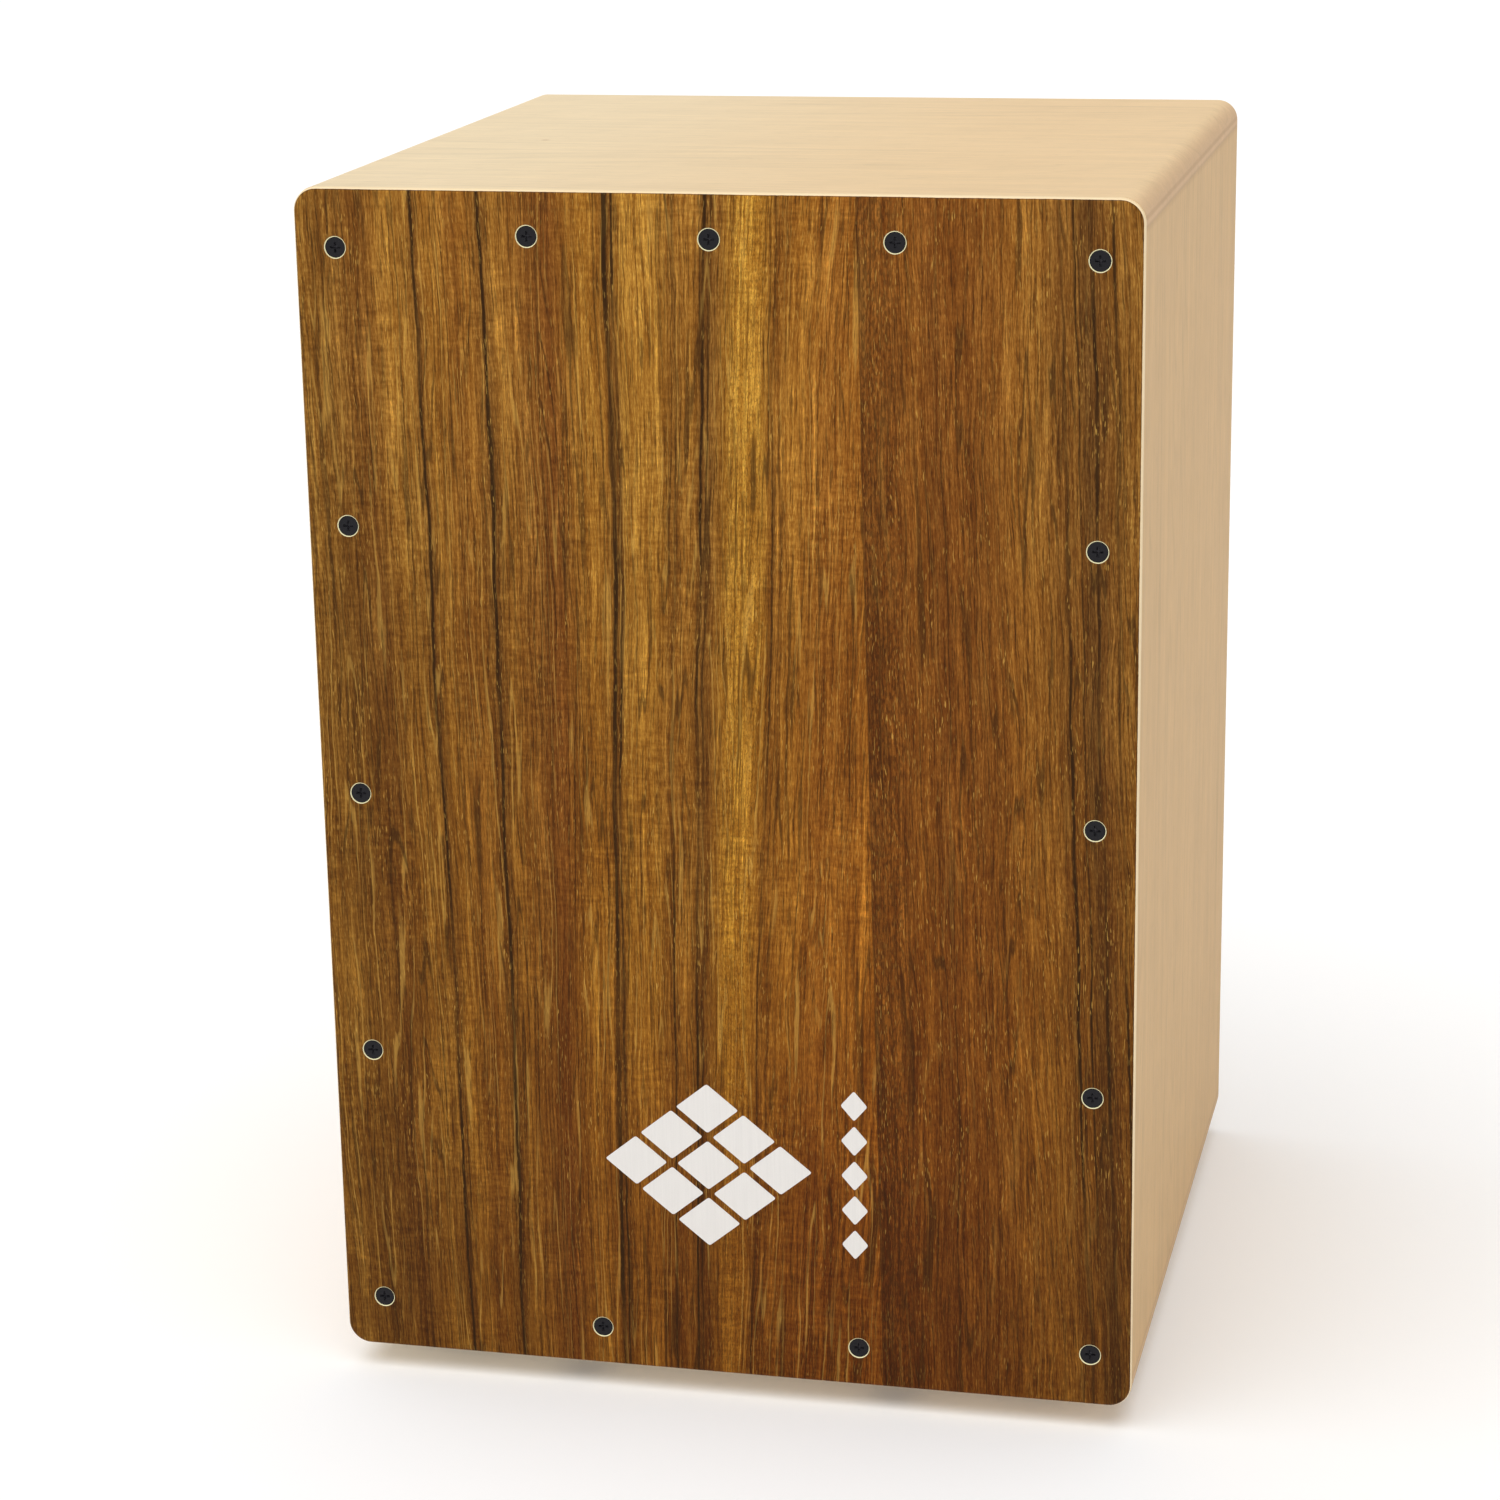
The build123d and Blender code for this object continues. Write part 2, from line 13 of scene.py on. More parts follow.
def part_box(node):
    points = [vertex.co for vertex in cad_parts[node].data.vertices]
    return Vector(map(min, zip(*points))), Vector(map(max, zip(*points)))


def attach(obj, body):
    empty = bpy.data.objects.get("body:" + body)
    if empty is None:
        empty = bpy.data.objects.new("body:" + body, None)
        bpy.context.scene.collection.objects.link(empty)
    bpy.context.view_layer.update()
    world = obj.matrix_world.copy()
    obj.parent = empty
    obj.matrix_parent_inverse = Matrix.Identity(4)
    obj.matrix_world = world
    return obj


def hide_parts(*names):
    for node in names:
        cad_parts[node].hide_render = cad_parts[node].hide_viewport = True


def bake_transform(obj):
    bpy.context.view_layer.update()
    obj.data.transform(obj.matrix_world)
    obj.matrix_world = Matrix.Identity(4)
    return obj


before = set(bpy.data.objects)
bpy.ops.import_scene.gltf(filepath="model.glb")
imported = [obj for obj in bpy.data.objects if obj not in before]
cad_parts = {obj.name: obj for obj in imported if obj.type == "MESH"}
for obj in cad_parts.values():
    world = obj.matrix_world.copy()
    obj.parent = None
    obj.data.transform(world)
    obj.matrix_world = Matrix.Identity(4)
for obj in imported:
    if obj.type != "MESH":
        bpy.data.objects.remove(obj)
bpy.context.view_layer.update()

MM = 0.001
SIDES = {"left": -1, "right": 1}

# Body planes in millimetres, from the frame
BODY_LOW, BODY_HIGH = (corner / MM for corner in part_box("front_plate"))
HALF_WIDTH = BODY_HIGH.x
FRONT = BODY_LOW.y
BASE = BODY_LOW.z
TOP = BODY_HIGH.z
HEIGHT = TOP - BASE
MID_Z = (TOP + BASE) / 2
HALF_HEIGHT = HEIGHT / 2
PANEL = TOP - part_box("top_panel")[0].z / MM

# Veneer of the playing plate, in millimetres
VENEER_DEPTH = 0.08
VENEER_DEPTH_AT_RIM = 0.40
RIM_ZONE = 4.0
JOINT_X = 51.5
CORE_GLUE_DEPTH = 1.5

# Lean of the veneer's stripes: millimetres towards +X for each millimetre down
LEFT_EDGE_LEAN = 0.024
MIDDLE_LEAN = -0.038
JOINT_LEAN = 0.0155
RIGHT_EDGE_LEAN = 0.031

# Tone of the veneer, in doublings of its brightness: from top to bottom, and added in some places
TONE_AT_TOP = 0.06
TONE_AT_BOTTOM = -0.58
LEFT_SIDE_TONE = -0.27
LOW_MIDDLE_TONE = -0.45
LOW_RIGHT_TONE = -0.14

# Dark glued layers of the box panels: depth, half widths where each starts and is full, darkness
EDGE_LAYERS = [(3.4, 1.0, 0.7, 0.20), (7.4, 1.15, 0.8, 0.42)]
ROUNDED_LAYERS = [(7.0, 1.2, 0.3, 0.32), (10.2, 1.2, 0.2, 0.34)]
SOUND_HOLE_LAYERS = 5
SOUND_HOLE_EDGE = 0.25

# Print on the playing plate, in millimetres
INK_THICKNESS = 0.05
LATTICE_X = -7.0
LATTICE_Z = 92.5
LATTICE_HALF = (41.0, 33.5)
LATTICE_CELLS = 3
LATTICE_GAP = 0.86
COLUMN_X = 48.0
COLUMN_HALF = (5.0, 34.0)
COLUMN_CELLS = 5
INK_CORNER_R = 0.9

# Strings and their ends, in millimetres
WIRE_R = 0.35
CARRIAGE_LIP = 3.0
HITCH_NOSE = 4.0
EDGE_GAP = 0.6
BALL_R = 1.8
BALL_HALF = 2.0
BALL_WAIST_R = 1.25
LOOP_R = 0.24
TWIST_WIRE_R = 0.16
TWIST_PITCH = 0.62

# Tension bolts, in millimetres
BOLT_R = 3.0
BOLT_ROOT_R = 2.42
BOLT_PITCH = 1.0
BOLT_HEAD_R = 5.0
BOLT_HEAD_H = 6.0
BOLT_KEY_HALF = 2.5
BOLT_SOCKET = 3.0
KNURL_RIDGES = 36
KNURL_DEPTH = 0.26

# Rubber feet, in millimetres
FOOT_TAPER = 1.5
FOOT_RECESS_R = 6.0
FOOT_RECESS_Z = 5.5
FOOT_BORE_R = 2.05
FOOT_GROOVES = (2.4, 4.1, 5.8)
FOOT_WALL_Z = 1.0
FOOT_WALL_HEIGHT = 8.0

# Camera, in metres and radians
CAMERA_PLACE = Vector((0.30375, -1.38880, 0.61932))
CAMERA_AZIMUTH = math.radians(13.272)
CAMERA_ELEVATION = math.radians(16.073)
CAMERA_ROLL = math.radians(-0.989)
CAMERA_LENS = 89.47
CAMERA_SENSOR = 36.0

# Studio: floor in metres, strengths and degrees
FLOOR_SIZE = 60.0
FLOOR_GREY = (0.93, 0.93, 0.93, 1.0)
FLOOR_GLOW = 0.1
SKY_BASE = 0.34
SKY_HORIZON = 1.0
SKY_FADE = (0.02, 0.32)
SUN_STRENGTH = 2.2
SUN_SPREAD = 70.0
SUN_TILT = (12.0, -6.0)


def colour(red, green, blue):
    """Linear colour of a screen colour given as levels from 0 to 255."""
    levels = [level / 255 for level in (red, green, blue)]
    linear = [v / 12.92 if v <= 0.04045 else ((v + 0.055) / 1.055) ** 2.4 for v in levels]
    return (*linear, 1.0)


class Shader:
    """A principled material put together node by node, with sizes in millimetres."""

    def __init__(self, name, **surface):
        self.material = bpy.data.materials.new(name)
        self.material.use_nodes = True
        self.tree = self.material.node_tree
        self.tree.nodes.clear()
        self.surface = self.node("BsdfPrincipled")
        output = self.node("OutputMaterial")
        self.tree.links.new(self.surface.outputs["BSDF"], output.inputs["Surface"])
        for socket, value in surface.items():
            self.surface.inputs[socket.replace("_", " ")].default_value = value
        coordinates = self.node("TexCoord")
        self.normal = coordinates.outputs["Normal"]
        self.place = self.vector("SCALE", coordinates.outputs["Object"], Scale=1 / MM)
        self.x, self.y, self.z = self.split(self.place)

    def node(self, kind, inputs=(), **settings):
        """Adds one node, sets it up and feeds its input sockets."""
        made = self.tree.nodes.new("ShaderNode" + kind)
        for key, value in settings.items():
            setattr(made, key, value)
        for socket, value in dict(inputs).items():
            self.feed(made.inputs[socket], value)
        return made

    def feed(self, socket, value):
        """Links an output into a socket, or sets the socket to a plain value."""
        if isinstance(value, bpy.types.NodeSocket):
            self.tree.links.new(value, socket)
        elif socket.type == "VECTOR":
            socket.default_value = value[:3]
        else:
            socket.default_value = value

    def math(self, operation, *values):
        made = self.node("Math", enumerate(values), operation=operation)
        return made.outputs[0]

    def vector(self, operation, value, **inputs):
        made = self.node("VectorMath", {0: value, **inputs}, operation=operation)
        return made.outputs["Vector"]

    def split(self, value):
        """The x, y and z of a vector."""
        return self.node("SeparateXYZ", {0: value}).outputs

    def join(self, x, y, z=0.0):
        return self.node("CombineXYZ", {0: x, 1: y, 2: z}).outputs[0]

    def add(self, *values):
        total = values[0]
        for value in values[1:]:
            total = self.math("ADD", total, value)
        return total

    def times(self, *values):
        total = values[0]
        for value in values[1:]:
            total = self.math("MULTIPLY", total, value)
        return total

    def minus(self, value, taken):
        return self.math("SUBTRACT", value, taken)

    def largest(self, *values):
        total = values[0]
        for value in values[1:]:
            total = self.math("MAXIMUM", total, value)
        return total

    def size(self, value):
        """Value without its sign."""
        return self.math("ABSOLUTE", value)

    def distance(self, value, centre):
        """How far a value is from a centre, whichever way."""
        return self.size(self.minus(value, centre))

    def square(self, value, centre):
        """Square of how far a value is from a centre."""
        offset = self.minus(value, centre)
        return self.math("MULTIPLY", offset, offset)

    def range(self, value, start, end, low=0.0, high=1.0, smooth=True):
        """Goes from low to high as value goes from start to end, and stays there."""
        limits = {"From Min": start, "From Max": end, "To Min": low, "To Max": high}
        kind = "SMOOTHSTEP" if smooth else "LINEAR"
        made = self.node("MapRange", {"Value": value, **limits}, interpolation_type=kind)
        return made.outputs["Result"]

    def noise(self, place, size, seed=0, detail=2.0, rough=0.5):
        """Noise from 0 to 1 with features of this size, in millimetres along each axis."""
        shift = (seed * 17.3, seed * 5.9, seed * 11.7)
        scale = [1 / length for length in size]
        moved = self.node("Mapping", {"Vector": place, "Location": shift, "Scale": scale})
        inputs = {"Vector": moved.outputs[0], "Scale": 1.0, "Detail": detail, "Roughness": rough}
        return self.node("TexNoise", inputs).outputs["Fac"]

    def centred(self, value, amount):
        """Turns noise about one half into a change about zero."""
        return self.times(self.minus(value, 0.5), amount)

    def contours(self, field, count):
        """Goes from 0 on contour lines of a field to 0.5 half way between them."""
        return self.math("PINGPONG", self.times(field, count), 0.5)

    def mix(self, share, first, second, blend="MIX", kind="RGBA"):
        """Mixes two colours, or two numbers where the kind is FLOAT."""
        a, b, result = (6, 7, 2) if kind == "RGBA" else (2, 3, 0)
        settings = {"data_type": kind, "blend_type": blend}
        return self.node("Mix", {0: share, a: first, b: second}, **settings).outputs[result]

    def shade(self, tint, amount):
        """Makes a colour lighter or darker."""
        return self.vector("SCALE", tint, Scale=amount)

    def ramp(self, value, stops):
        """Colour from a list of (place, colour), where the places may be in any unit."""
        first, last = stops[0][0], stops[-1][0]
        made = self.node("ValToRGB", {0: self.range(value, first, last, smooth=False)})
        line = made.color_ramp.elements
        while len(line) < len(stops):
            line.new(0.5)
        for element, (place, tint) in zip(line, stops):
            element.position = (place - first) / (last - first)
            element.color = tint
        return made.outputs["Color"]

    def relief(self, height, depth, strength=1.0):
        """Bump from a height of 0 to 1, where 1 stands this many millimetres proud."""
        inputs = {"Height": height, "Distance": depth * MM, "Strength": strength}
        self.feed(self.surface.inputs["Normal"], self.node("Bump", inputs).outputs[0])

    def paint(self, tint):
        self.feed(self.surface.inputs["Base Color"], tint)

    def gloss(self, roughness):
        self.feed(self.surface.inputs["Roughness"], roughness)


# Veneer bands of the playing plate: millimetres from the centre at the top edge, and colour
LEFT_LEAF = [
    (-150, colour(142, 98, 44)),
    (-141, colour(128, 86, 37)),
    (-127, colour(122, 78, 33)),
    (-117, colour(151, 103, 44)),
    (-110, colour(147, 101, 45)),
    (-107, colour(120, 78, 34)),
    (-103, colour(152, 103, 43)),
    (-93, colour(131, 83, 33)),
    (-89, colour(145, 95, 39)),
    (-82, colour(112, 72, 31)),
    (-77, colour(144, 96, 40)),
    (-66, colour(130, 83, 35)),
    (-57, colour(118, 70, 28)),
    (-43, colour(158, 108, 44)),
    (-38, colour(148, 99, 41)),
    (-36, colour(116, 76, 32)),
    (-33, colour(122, 80, 34)),
    (-31, colour(152, 105, 44)),
    (-26, colour(160, 111, 47)),
    (-19, colour(160, 111, 47)),
    (-12, colour(136, 90, 38)),
    (-5, colour(150, 101, 43)),
    (0, colour(112, 73, 32)),
    (4, colour(128, 84, 36)),
    (8, colour(156, 108, 44)),
    (13, colour(180, 129, 53)),
    (20, colour(170, 119, 48)),
    (25, colour(134, 86, 34)),
    (33, colour(154, 102, 41)),
    (44, colour(142, 89, 35)),
    (56, colour(144, 90, 34)),
    (66, colour(154, 97, 37)),
]
RIGHT_LEAF = [
    (50, colour(104, 60, 22)),
    (57, colour(124, 74, 28)),
    (63, colour(126, 75, 29)),
    (69, colour(134, 82, 32)),
    (77, colour(116, 68, 26)),
    (83, colour(128, 77, 30)),
    (90, colour(122, 73, 28)),
    (98, colour(132, 82, 33)),
    (105, colour(140, 90, 37)),
    (113, colour(140, 92, 39)),
    (120, colour(120, 77, 33)),
    (125, colour(124, 80, 34)),
    (129, colour(96, 61, 27)),
    (134, colour(114, 73, 32)),
    (140, colour(134, 90, 40)),
    (150, colour(138, 93, 42)),
]

# Dark veins in the two leaves: millimetres from the centre at the top edge, half width, darkness
LEFT_VEINS = [
    (-140.5, 0.5, 0.45),
    (-114.5, 0.35, 0.5),
    (-107.5, 0.8, 0.85),
    (-99.0, 0.3, 0.5),
    (-82.5, 0.9, 0.9),
    (-75.0, 0.3, 0.45),
    (-61.5, 0.4, 0.5),
    (-48.0, 0.4, 0.45),
]
MIDDLE_VEINS = [
    (-39.5, 0.4, 0.6),
    (-35.6, 1.1, 0.95),
    (-33.2, 0.5, 0.85),
    (-17.0, 0.3, 0.45),
    (-11.0, 0.8, 0.6),
    (-0.8, 0.9, 0.7),
    (1.4, 0.4, 0.65),
    (25.0, 0.6, 0.6),
    (28.5, 0.3, 0.5),
]
RIGHT_VEINS = [
    (64.0, 0.3, 0.35),
    (79.0, 0.5, 0.45),
    (97.5, 0.3, 0.4),
    (112.5, 0.3, 0.5),
    (121.5, 0.7, 0.8),
    (126.0, 0.4, 0.7),
    (131.5, 0.8, 0.75),
    (138.5, 0.6, 0.8),
    (142.0, 0.3, 0.6),
]

# Tints that multiply the veneer: in its dark and light figure, low down, and low in the middle
VENEER_IN_DARK = (1.22, 1.02, 0.50, 1)
VENEER_IN_LIGHT = (1.06, 1.16, 0.96, 1)
LOW_VENEER = (1.0, 0.89, 0.66, 1)
LOW_MIDDLE_VENEER = (1.0, 0.84, 0.74, 1)
# Dark of the veins and the leaf joint, and of a thin line of painted shade beside the rim
VEIN_AND_SHADE_TINT = colour(48, 29, 10)
# Gold of the thin golden lines, and of the painted glints on the pores
GOLD_LINE_AND_GLINT_TINT = colour(228, 178, 84)

# Core of the playing plate at its rim and inner face, its glue line, and the core in its holes,
# painted brighter there as a painted highlight against the shade of the recess
CORE_WOOD = colour(250, 226, 184)
CORE_GLUE = colour(205, 160, 105)
HOLE_WOOD_AND_HIGHLIGHT = colour(254, 246, 198)

# Pale wood of the box, and a small knot in the top panel
SIDE_WOOD = colour(217, 182, 135)
# Darker wood of the rounded ends: end grain, and painted shade of the rounding
ROUNDED_WOOD = colour(216, 181, 141)
TOP_WOOD = colour(233, 203, 160)
TOP_WOOD_PALE = colour(239, 219, 183)
PLY_DARK = colour(176, 138, 100)
KNOT_WOOD = colour(188, 148, 98)
KNOT_X = -98.0
KNOT_Y = -9.0
KNOT_R = 2.6
BATTEN_WOOD = colour(205, 172, 126)

# Metals, rubber and ink
ZINC_GREY = colour(196, 199, 202)
BAR_GREY = colour(214, 216, 219)
CARRIAGE_GREY = colour(178, 180, 184)
BRASS = colour(222, 184, 110)
BRONZE = colour(206, 152, 98)
BOLT_BLACK = colour(58, 58, 62)
SCREW_BLACK = colour(27, 26, 30)
RUBBED_BLACK = colour(70, 68, 74)
RUBBER = colour(44, 43, 44)
INK = colour(240, 236, 231)


def vein_ramp(s, across, lines):
    """Darkness of a few named dark lines, each given as (place, half width, darkness)."""
    clear, edge = (0, 0, 0, 1), 0.12
    stops = [(lines[0][0] - 20, clear)]
    for place, half, darkness in lines:
        level = (darkness, darkness, darkness, 1)
        stops += [(place - half - edge, clear), (place, level), (place + half + edge, clear)]
    stops.append((lines[-1][0] + 20, clear))
    return s.split(s.ramp(across, stops))[0]


def veneer_tone(s, flow, grain, right):
    """Lighter and darker figure of the veneer, in doublings of its brightness, with a painted sheen
    across the grain that is stronger in some zones.
    """
    calm = s.mix(right, 1.0, 0.45, kind="FLOAT")
    zone = s.times(calm, s.range(s.noise(flow, (45, 60, 1), 10), 0.38, 0.60, 0.3, 1.0))
    return s.add(
        s.times(calm, s.centred(s.noise(grain, (5, 160, 1), 20, detail=3), 0.9)),
        s.times(calm, s.centred(s.noise(grain, (1.8, 90, 1), 21, detail=3, rough=0.6), 2.1)),
        s.centred(s.noise(grain, (0.8, 40, 1), 22, detail=2, rough=0.6), 2.9),
        s.times(right, s.centred(s.noise(grain, (0.5, 14, 1), 29, detail=2, rough=0.6), 1.8)),
        s.centred(s.noise(grain, (0.38, 4.5, 1), 23, detail=1), 2.1),
        s.centred(s.noise(grain, (0.3, 1.4, 1), 24, detail=1), 1.3),
        s.centred(s.noise(flow, (34, 60, 1), 25, detail=3), 1.0),
        s.centred(s.noise(flow, (6, 14, 1), 26, detail=3, rough=0.6), 0.6),
        # Painted sheen: short light and dark bands across the grain, stronger in the zones above
        s.times(zone, s.centred(s.noise(flow, (12, 2.6, 1), 27, detail=2), 1.2)),
        s.times(zone, s.centred(s.noise(flow, (3.5, 1.2, 1), 28, detail=1), 1.2)),
    )


def leaf_joint(s, flow, down):
    """How far each place is past the joint of the two leaves, towards +X."""
    waver = s.centred(s.noise(flow, (90, 30, 1), 4), 0.8)
    return s.minus(s.x, s.add(JOINT_X, s.times(JOINT_LEAN, down), waver))


def veneer_across(s, flow, down, right):
    """Place across the stripes, which lean and wander on their way down the plate."""
    left_lean = s.range(s.x, -110, 10, LEFT_EDGE_LEAN, MIDDLE_LEAN, smooth=False)
    right_lean = s.range(s.x, 55, 135, JOINT_LEAN, RIGHT_EDGE_LEAN, smooth=False)
    lean = s.mix(right, left_lean, right_lean, kind="FLOAT")
    wander = s.add(
        s.centred(s.noise(flow, (40, 150, 1), 1), 7.0),
        s.centred(s.noise(flow, (8, 45, 1), 2), 2.2),
        s.centred(s.noise(flow, (2.5, 12, 1), 3, detail=2), 1.0),
    )
    return s.add(s.minus(s.x, s.times(lean, down)), wander)


def veneer_tint(s, bands, tone, down):
    """Bands with their figure, darker and redder towards the bottom of the plate."""
    left_side = s.times(s.range(down, 70, 180), s.range(s.x, -40, -120))
    low_middle = s.times(s.range(down, 280, 400), s.range(s.distance(s.x, 15), 95, 35))
    low_right = s.times(s.range(down, 350, 420), s.range(s.x, -20, 60))
    dimmer = s.add(
        s.range(down, 0, HEIGHT, TONE_AT_TOP, TONE_AT_BOTTOM, smooth=False),
        s.times(left_side, LEFT_SIDE_TONE),
        s.times(low_right, LOW_RIGHT_TONE),
        s.times(low_middle, LOW_MIDDLE_TONE),
    )
    tint = s.shade(bands, s.math("POWER", 2.0, s.add(tone, dimmer)))
    hue = s.mix(s.range(tone, -0.9, 0.9), VENEER_IN_DARK, VENEER_IN_LIGHT)
    tint = s.mix(1.0, tint, hue, "MULTIPLY")
    tint = s.mix(s.range(down, 70, 320), tint, LOW_VENEER, "MULTIPLY")
    return s.mix(low_middle, tint, LOW_MIDDLE_VENEER, "MULTIPLY")


def golden_lines(s, grain, right):
    """Share of the thin golden lines, which are faint in the right leaf."""
    line = s.contours(s.noise(grain, (20, 500, 1), 11, detail=3), 19.0)
    zone = s.range(s.noise(grain, (5, 70, 1), 19), 0.45, 0.60)
    zone = s.times(zone, s.mix(right, 1.0, 0.25, kind="FLOAT"))
    return s.times(s.range(line, 0.12, 0.04), zone, 0.3)


def dark_marks(s, flow, across, grain, right, past_joint):
    """Share of the dark veins, the pores and the marks of single bands."""
    named = s.add(vein_ramp(s, across, LEFT_VEINS), vein_ramp(s, across, MIDDLE_VEINS))
    named = s.mix(right, named, vein_ramp(s, across, RIGHT_VEINS), kind="FLOAT")
    fading = s.range(s.noise(grain, (9, 90, 1), 12), 0.34, 0.56, 0.35, 0.92)
    named = s.times(s.range(named, 0.06, 0.55), fading)
    ripple = s.contours(s.noise(grain, (24, 600, 1), 13, detail=3), 20.0)
    vein_zone = s.range(s.noise(grain, (5, 90, 1), 14), 0.42, 0.58)
    vein = s.times(s.range(ripple, 0.11, 0.04), vein_zone, 0.62)
    pore = s.times(s.range(s.noise(grain, (0.42, 15, 1), 15, detail=2), 0.55, 0.65), 0.55)
    red_strip = s.times(s.range(past_joint, 0.0, 0.5), s.range(past_joint, 19, 9))
    strip_pore = s.range(s.noise(flow, (0.8, 2.8, 1), 16, detail=2), 0.48, 0.58)
    gold_band = s.range(s.distance(across, 15), 8, 5)
    gold_mark = s.range(s.noise(grain, (0.55, 1.3, 1), 17, detail=1), 0.52, 0.62)
    marks = s.add(s.times(red_strip, strip_pore, 0.45), s.times(gold_band, gold_mark, 0.35))
    return s.largest(named, vein, pore, marks)


def painted_glints(s, flow, grain, down):
    """Share of the painted glints: short golden streaks of painted highlight, which fade low down.
    """
    glint = s.range(s.noise(grain, (0.26, 3.2, 1), 18, detail=0), 0.69, 0.80)
    zone = s.range(s.noise(flow, (7, 40, 1), 30), 0.40, 0.62, 0.12, 0.5)
    return s.times(glint, zone, s.range(down, 320, 420, 1.0, 0.4))


def plate_veneer():
    """Dark striped veneer in two leaves over a pale plywood core that shows at cut edges."""
    s = Shader("plate_veneer", Specular_IOR_Level=0.08)
    down = s.minus(TOP, s.z)
    flow = s.join(s.x, s.z)
    past_joint = leaf_joint(s, flow, down)
    right = s.range(past_joint, -0.15, 0.15)
    across = veneer_across(s, flow, down, right)
    grain = s.join(across, s.z)

    bands = s.mix(right, s.ramp(across, LEFT_LEAF), s.ramp(across, RIGHT_LEAF))
    tone = veneer_tone(s, flow, grain, right)
    tint = veneer_tint(s, bands, tone, down)
    tint = s.mix(golden_lines(s, grain, right), tint, GOLD_LINE_AND_GLINT_TINT)
    dark = dark_marks(s, flow, across, grain, right, past_joint)
    tint = s.mix(dark, tint, VEIN_AND_SHADE_TINT)
    # Painted glints: short golden highlights painted on the pores
    tint = s.mix(painted_glints(s, flow, grain, down), tint, GOLD_LINE_AND_GLINT_TINT)
    joint_line = s.times(s.range(s.size(past_joint), 0.35, 0.1), 0.45)
    tint = s.mix(joint_line, tint, VEIN_AND_SHADE_TINT)

    s.paint(core_at_cut_edges(s, tint))
    s.gloss(s.add(0.45, s.times(dark, 0.25), s.times(tone, 0.05)))
    s.relief(s.minus(s.times(tone, 0.15), dark), 0.05, 0.6)
    return s.material


def core_at_cut_edges(s, veneer):
    """Pale plywood core where the rim or a countersink cuts through the veneer."""
    past_side = s.minus(s.size(s.x), HALF_WIDTH)
    rim = s.largest(past_side, s.minus(s.distance(s.z, MID_Z), HALF_HEIGHT))
    near_rim = s.range(rim, -2 * RIM_ZONE, -RIM_ZONE)
    sanding = s.centred(s.noise(s.place, (50, 50, 50), 20), 0.35)
    less_low_down = s.range(s.z, MID_Z - 80, BASE + 30, 0.0, 0.2)
    limit = s.add(VENEER_DEPTH_AT_RIM - VENEER_DEPTH, sanding, less_low_down)
    limit = s.add(VENEER_DEPTH, s.times(near_rim, limit))
    ragged = s.centred(s.noise(s.place, (1.2, 1.2, 1.2), 18), 0.12)
    depth = s.minus(s.y, FRONT)
    past_veneer = s.minus(s.add(depth, ragged), limit)
    bare = s.range(past_veneer, -0.02, 0.05)
    # Painted shade: a thin dark line on the veneer just short of where the rim's pale core shows
    rim_shade = s.times(near_rim, s.range(past_veneer, -0.26, -0.16), 0.4)
    veneer = s.mix(rim_shade, veneer, VEIN_AND_SHADE_TINT)
    core_grain = s.centred(s.noise(s.place, (4.0, 0.3, 4.0), 19), 0.12)
    inner_face = s.range(depth, 2.4, 2.8)
    # In the countersinks the pale core is painted brighter: pale wood with a painted highlight on
    # the ring round each screw
    core = s.mix(s.largest(near_rim, inner_face), HOLE_WOOD_AND_HIGHLIGHT, CORE_WOOD)
    core = s.shade(core, s.add(1.0, core_grain))
    glue = s.range(s.distance(depth, CORE_GLUE_DEPTH), 0.16, 0.05)
    core = s.mix(s.times(glue, 0.5), core, CORE_GLUE)
    return s.mix(bare, veneer, core)


def along(s, axis):
    """Place with the grain's own axis last, so that one grain recipe serves every direction."""
    parts = {"x": (s.y, s.z, s.x), "y": (s.x, s.z, s.y), "z": (s.x, s.y, s.z)}
    return s.join(*parts[axis])


def pale_wood(name, tint, axis, seed, figure, layers):
    """Pale wood with a thin matt lacquer: fibres along an axis, growth lines and flecks.

    Layers adds what shows at the panel's cut edges to the wood, whose figure is its tone.
    """
    s = Shader(name, Specular_IOR_Level=0.02)
    grain = along(s, axis)
    bend = s.centred(s.noise(grain, (30, 30, 120), seed), 5.0)
    a, b, c = s.split(grain)
    grain = s.join(s.add(a, bend), s.add(b, bend), c)
    broad = s.noise(grain, (7, 7, 190), seed + 1)
    fibre = s.noise(grain, (1.1, 1.1, 34), seed + 2)
    fine = s.noise(grain, (0.45, 0.45, 9), seed + 3)
    turned = s.node("Mapping", {"Vector": s.place, "Rotation": (0.6, 0.5, 0.7)}).outputs[0]
    mottle = s.noise(turned, (16, 40, 16), seed + 4)
    fleck = s.range(s.noise(grain, (0.5, 0.5, 6), seed + 5, detail=1), 0.63, 0.74)
    contour = s.contours(s.noise(grain, (55, 55, 650), seed + 6, detail=1), 26.0)
    growth = s.range(contour, 0.22, 0.0)
    growth_zone = s.range(s.noise(grain, (30, 30, 260), seed + 7), 0.42, 0.60)
    change = s.add(
        s.centred(broad, 0.15),
        s.centred(fibre, 0.16),
        s.centred(fine, 0.14),
        s.centred(mottle, 0.08),
        s.times(fleck, -0.10),
        s.times(growth, growth_zone, -0.055),
    )
    tone = s.add(1.0, s.times(change, figure))
    s.paint(layers(s, s.shade(tint, tone), tone))
    s.gloss(s.add(0.46, s.centred(fibre, 0.14)))
    s.relief(s.add(s.centred(fine, 0.6), s.times(fleck, -0.6)), 0.03, 0.5)
    return s.material


def dark_layers(s, depth, layers):
    """How much the glued layers darken the wood, by depth below the panel's outer face."""
    return s.add(
        *(
            s.times(s.range(s.distance(depth, middle), start, full), darkness)
            for middle, start, full, darkness in layers
        )
    )


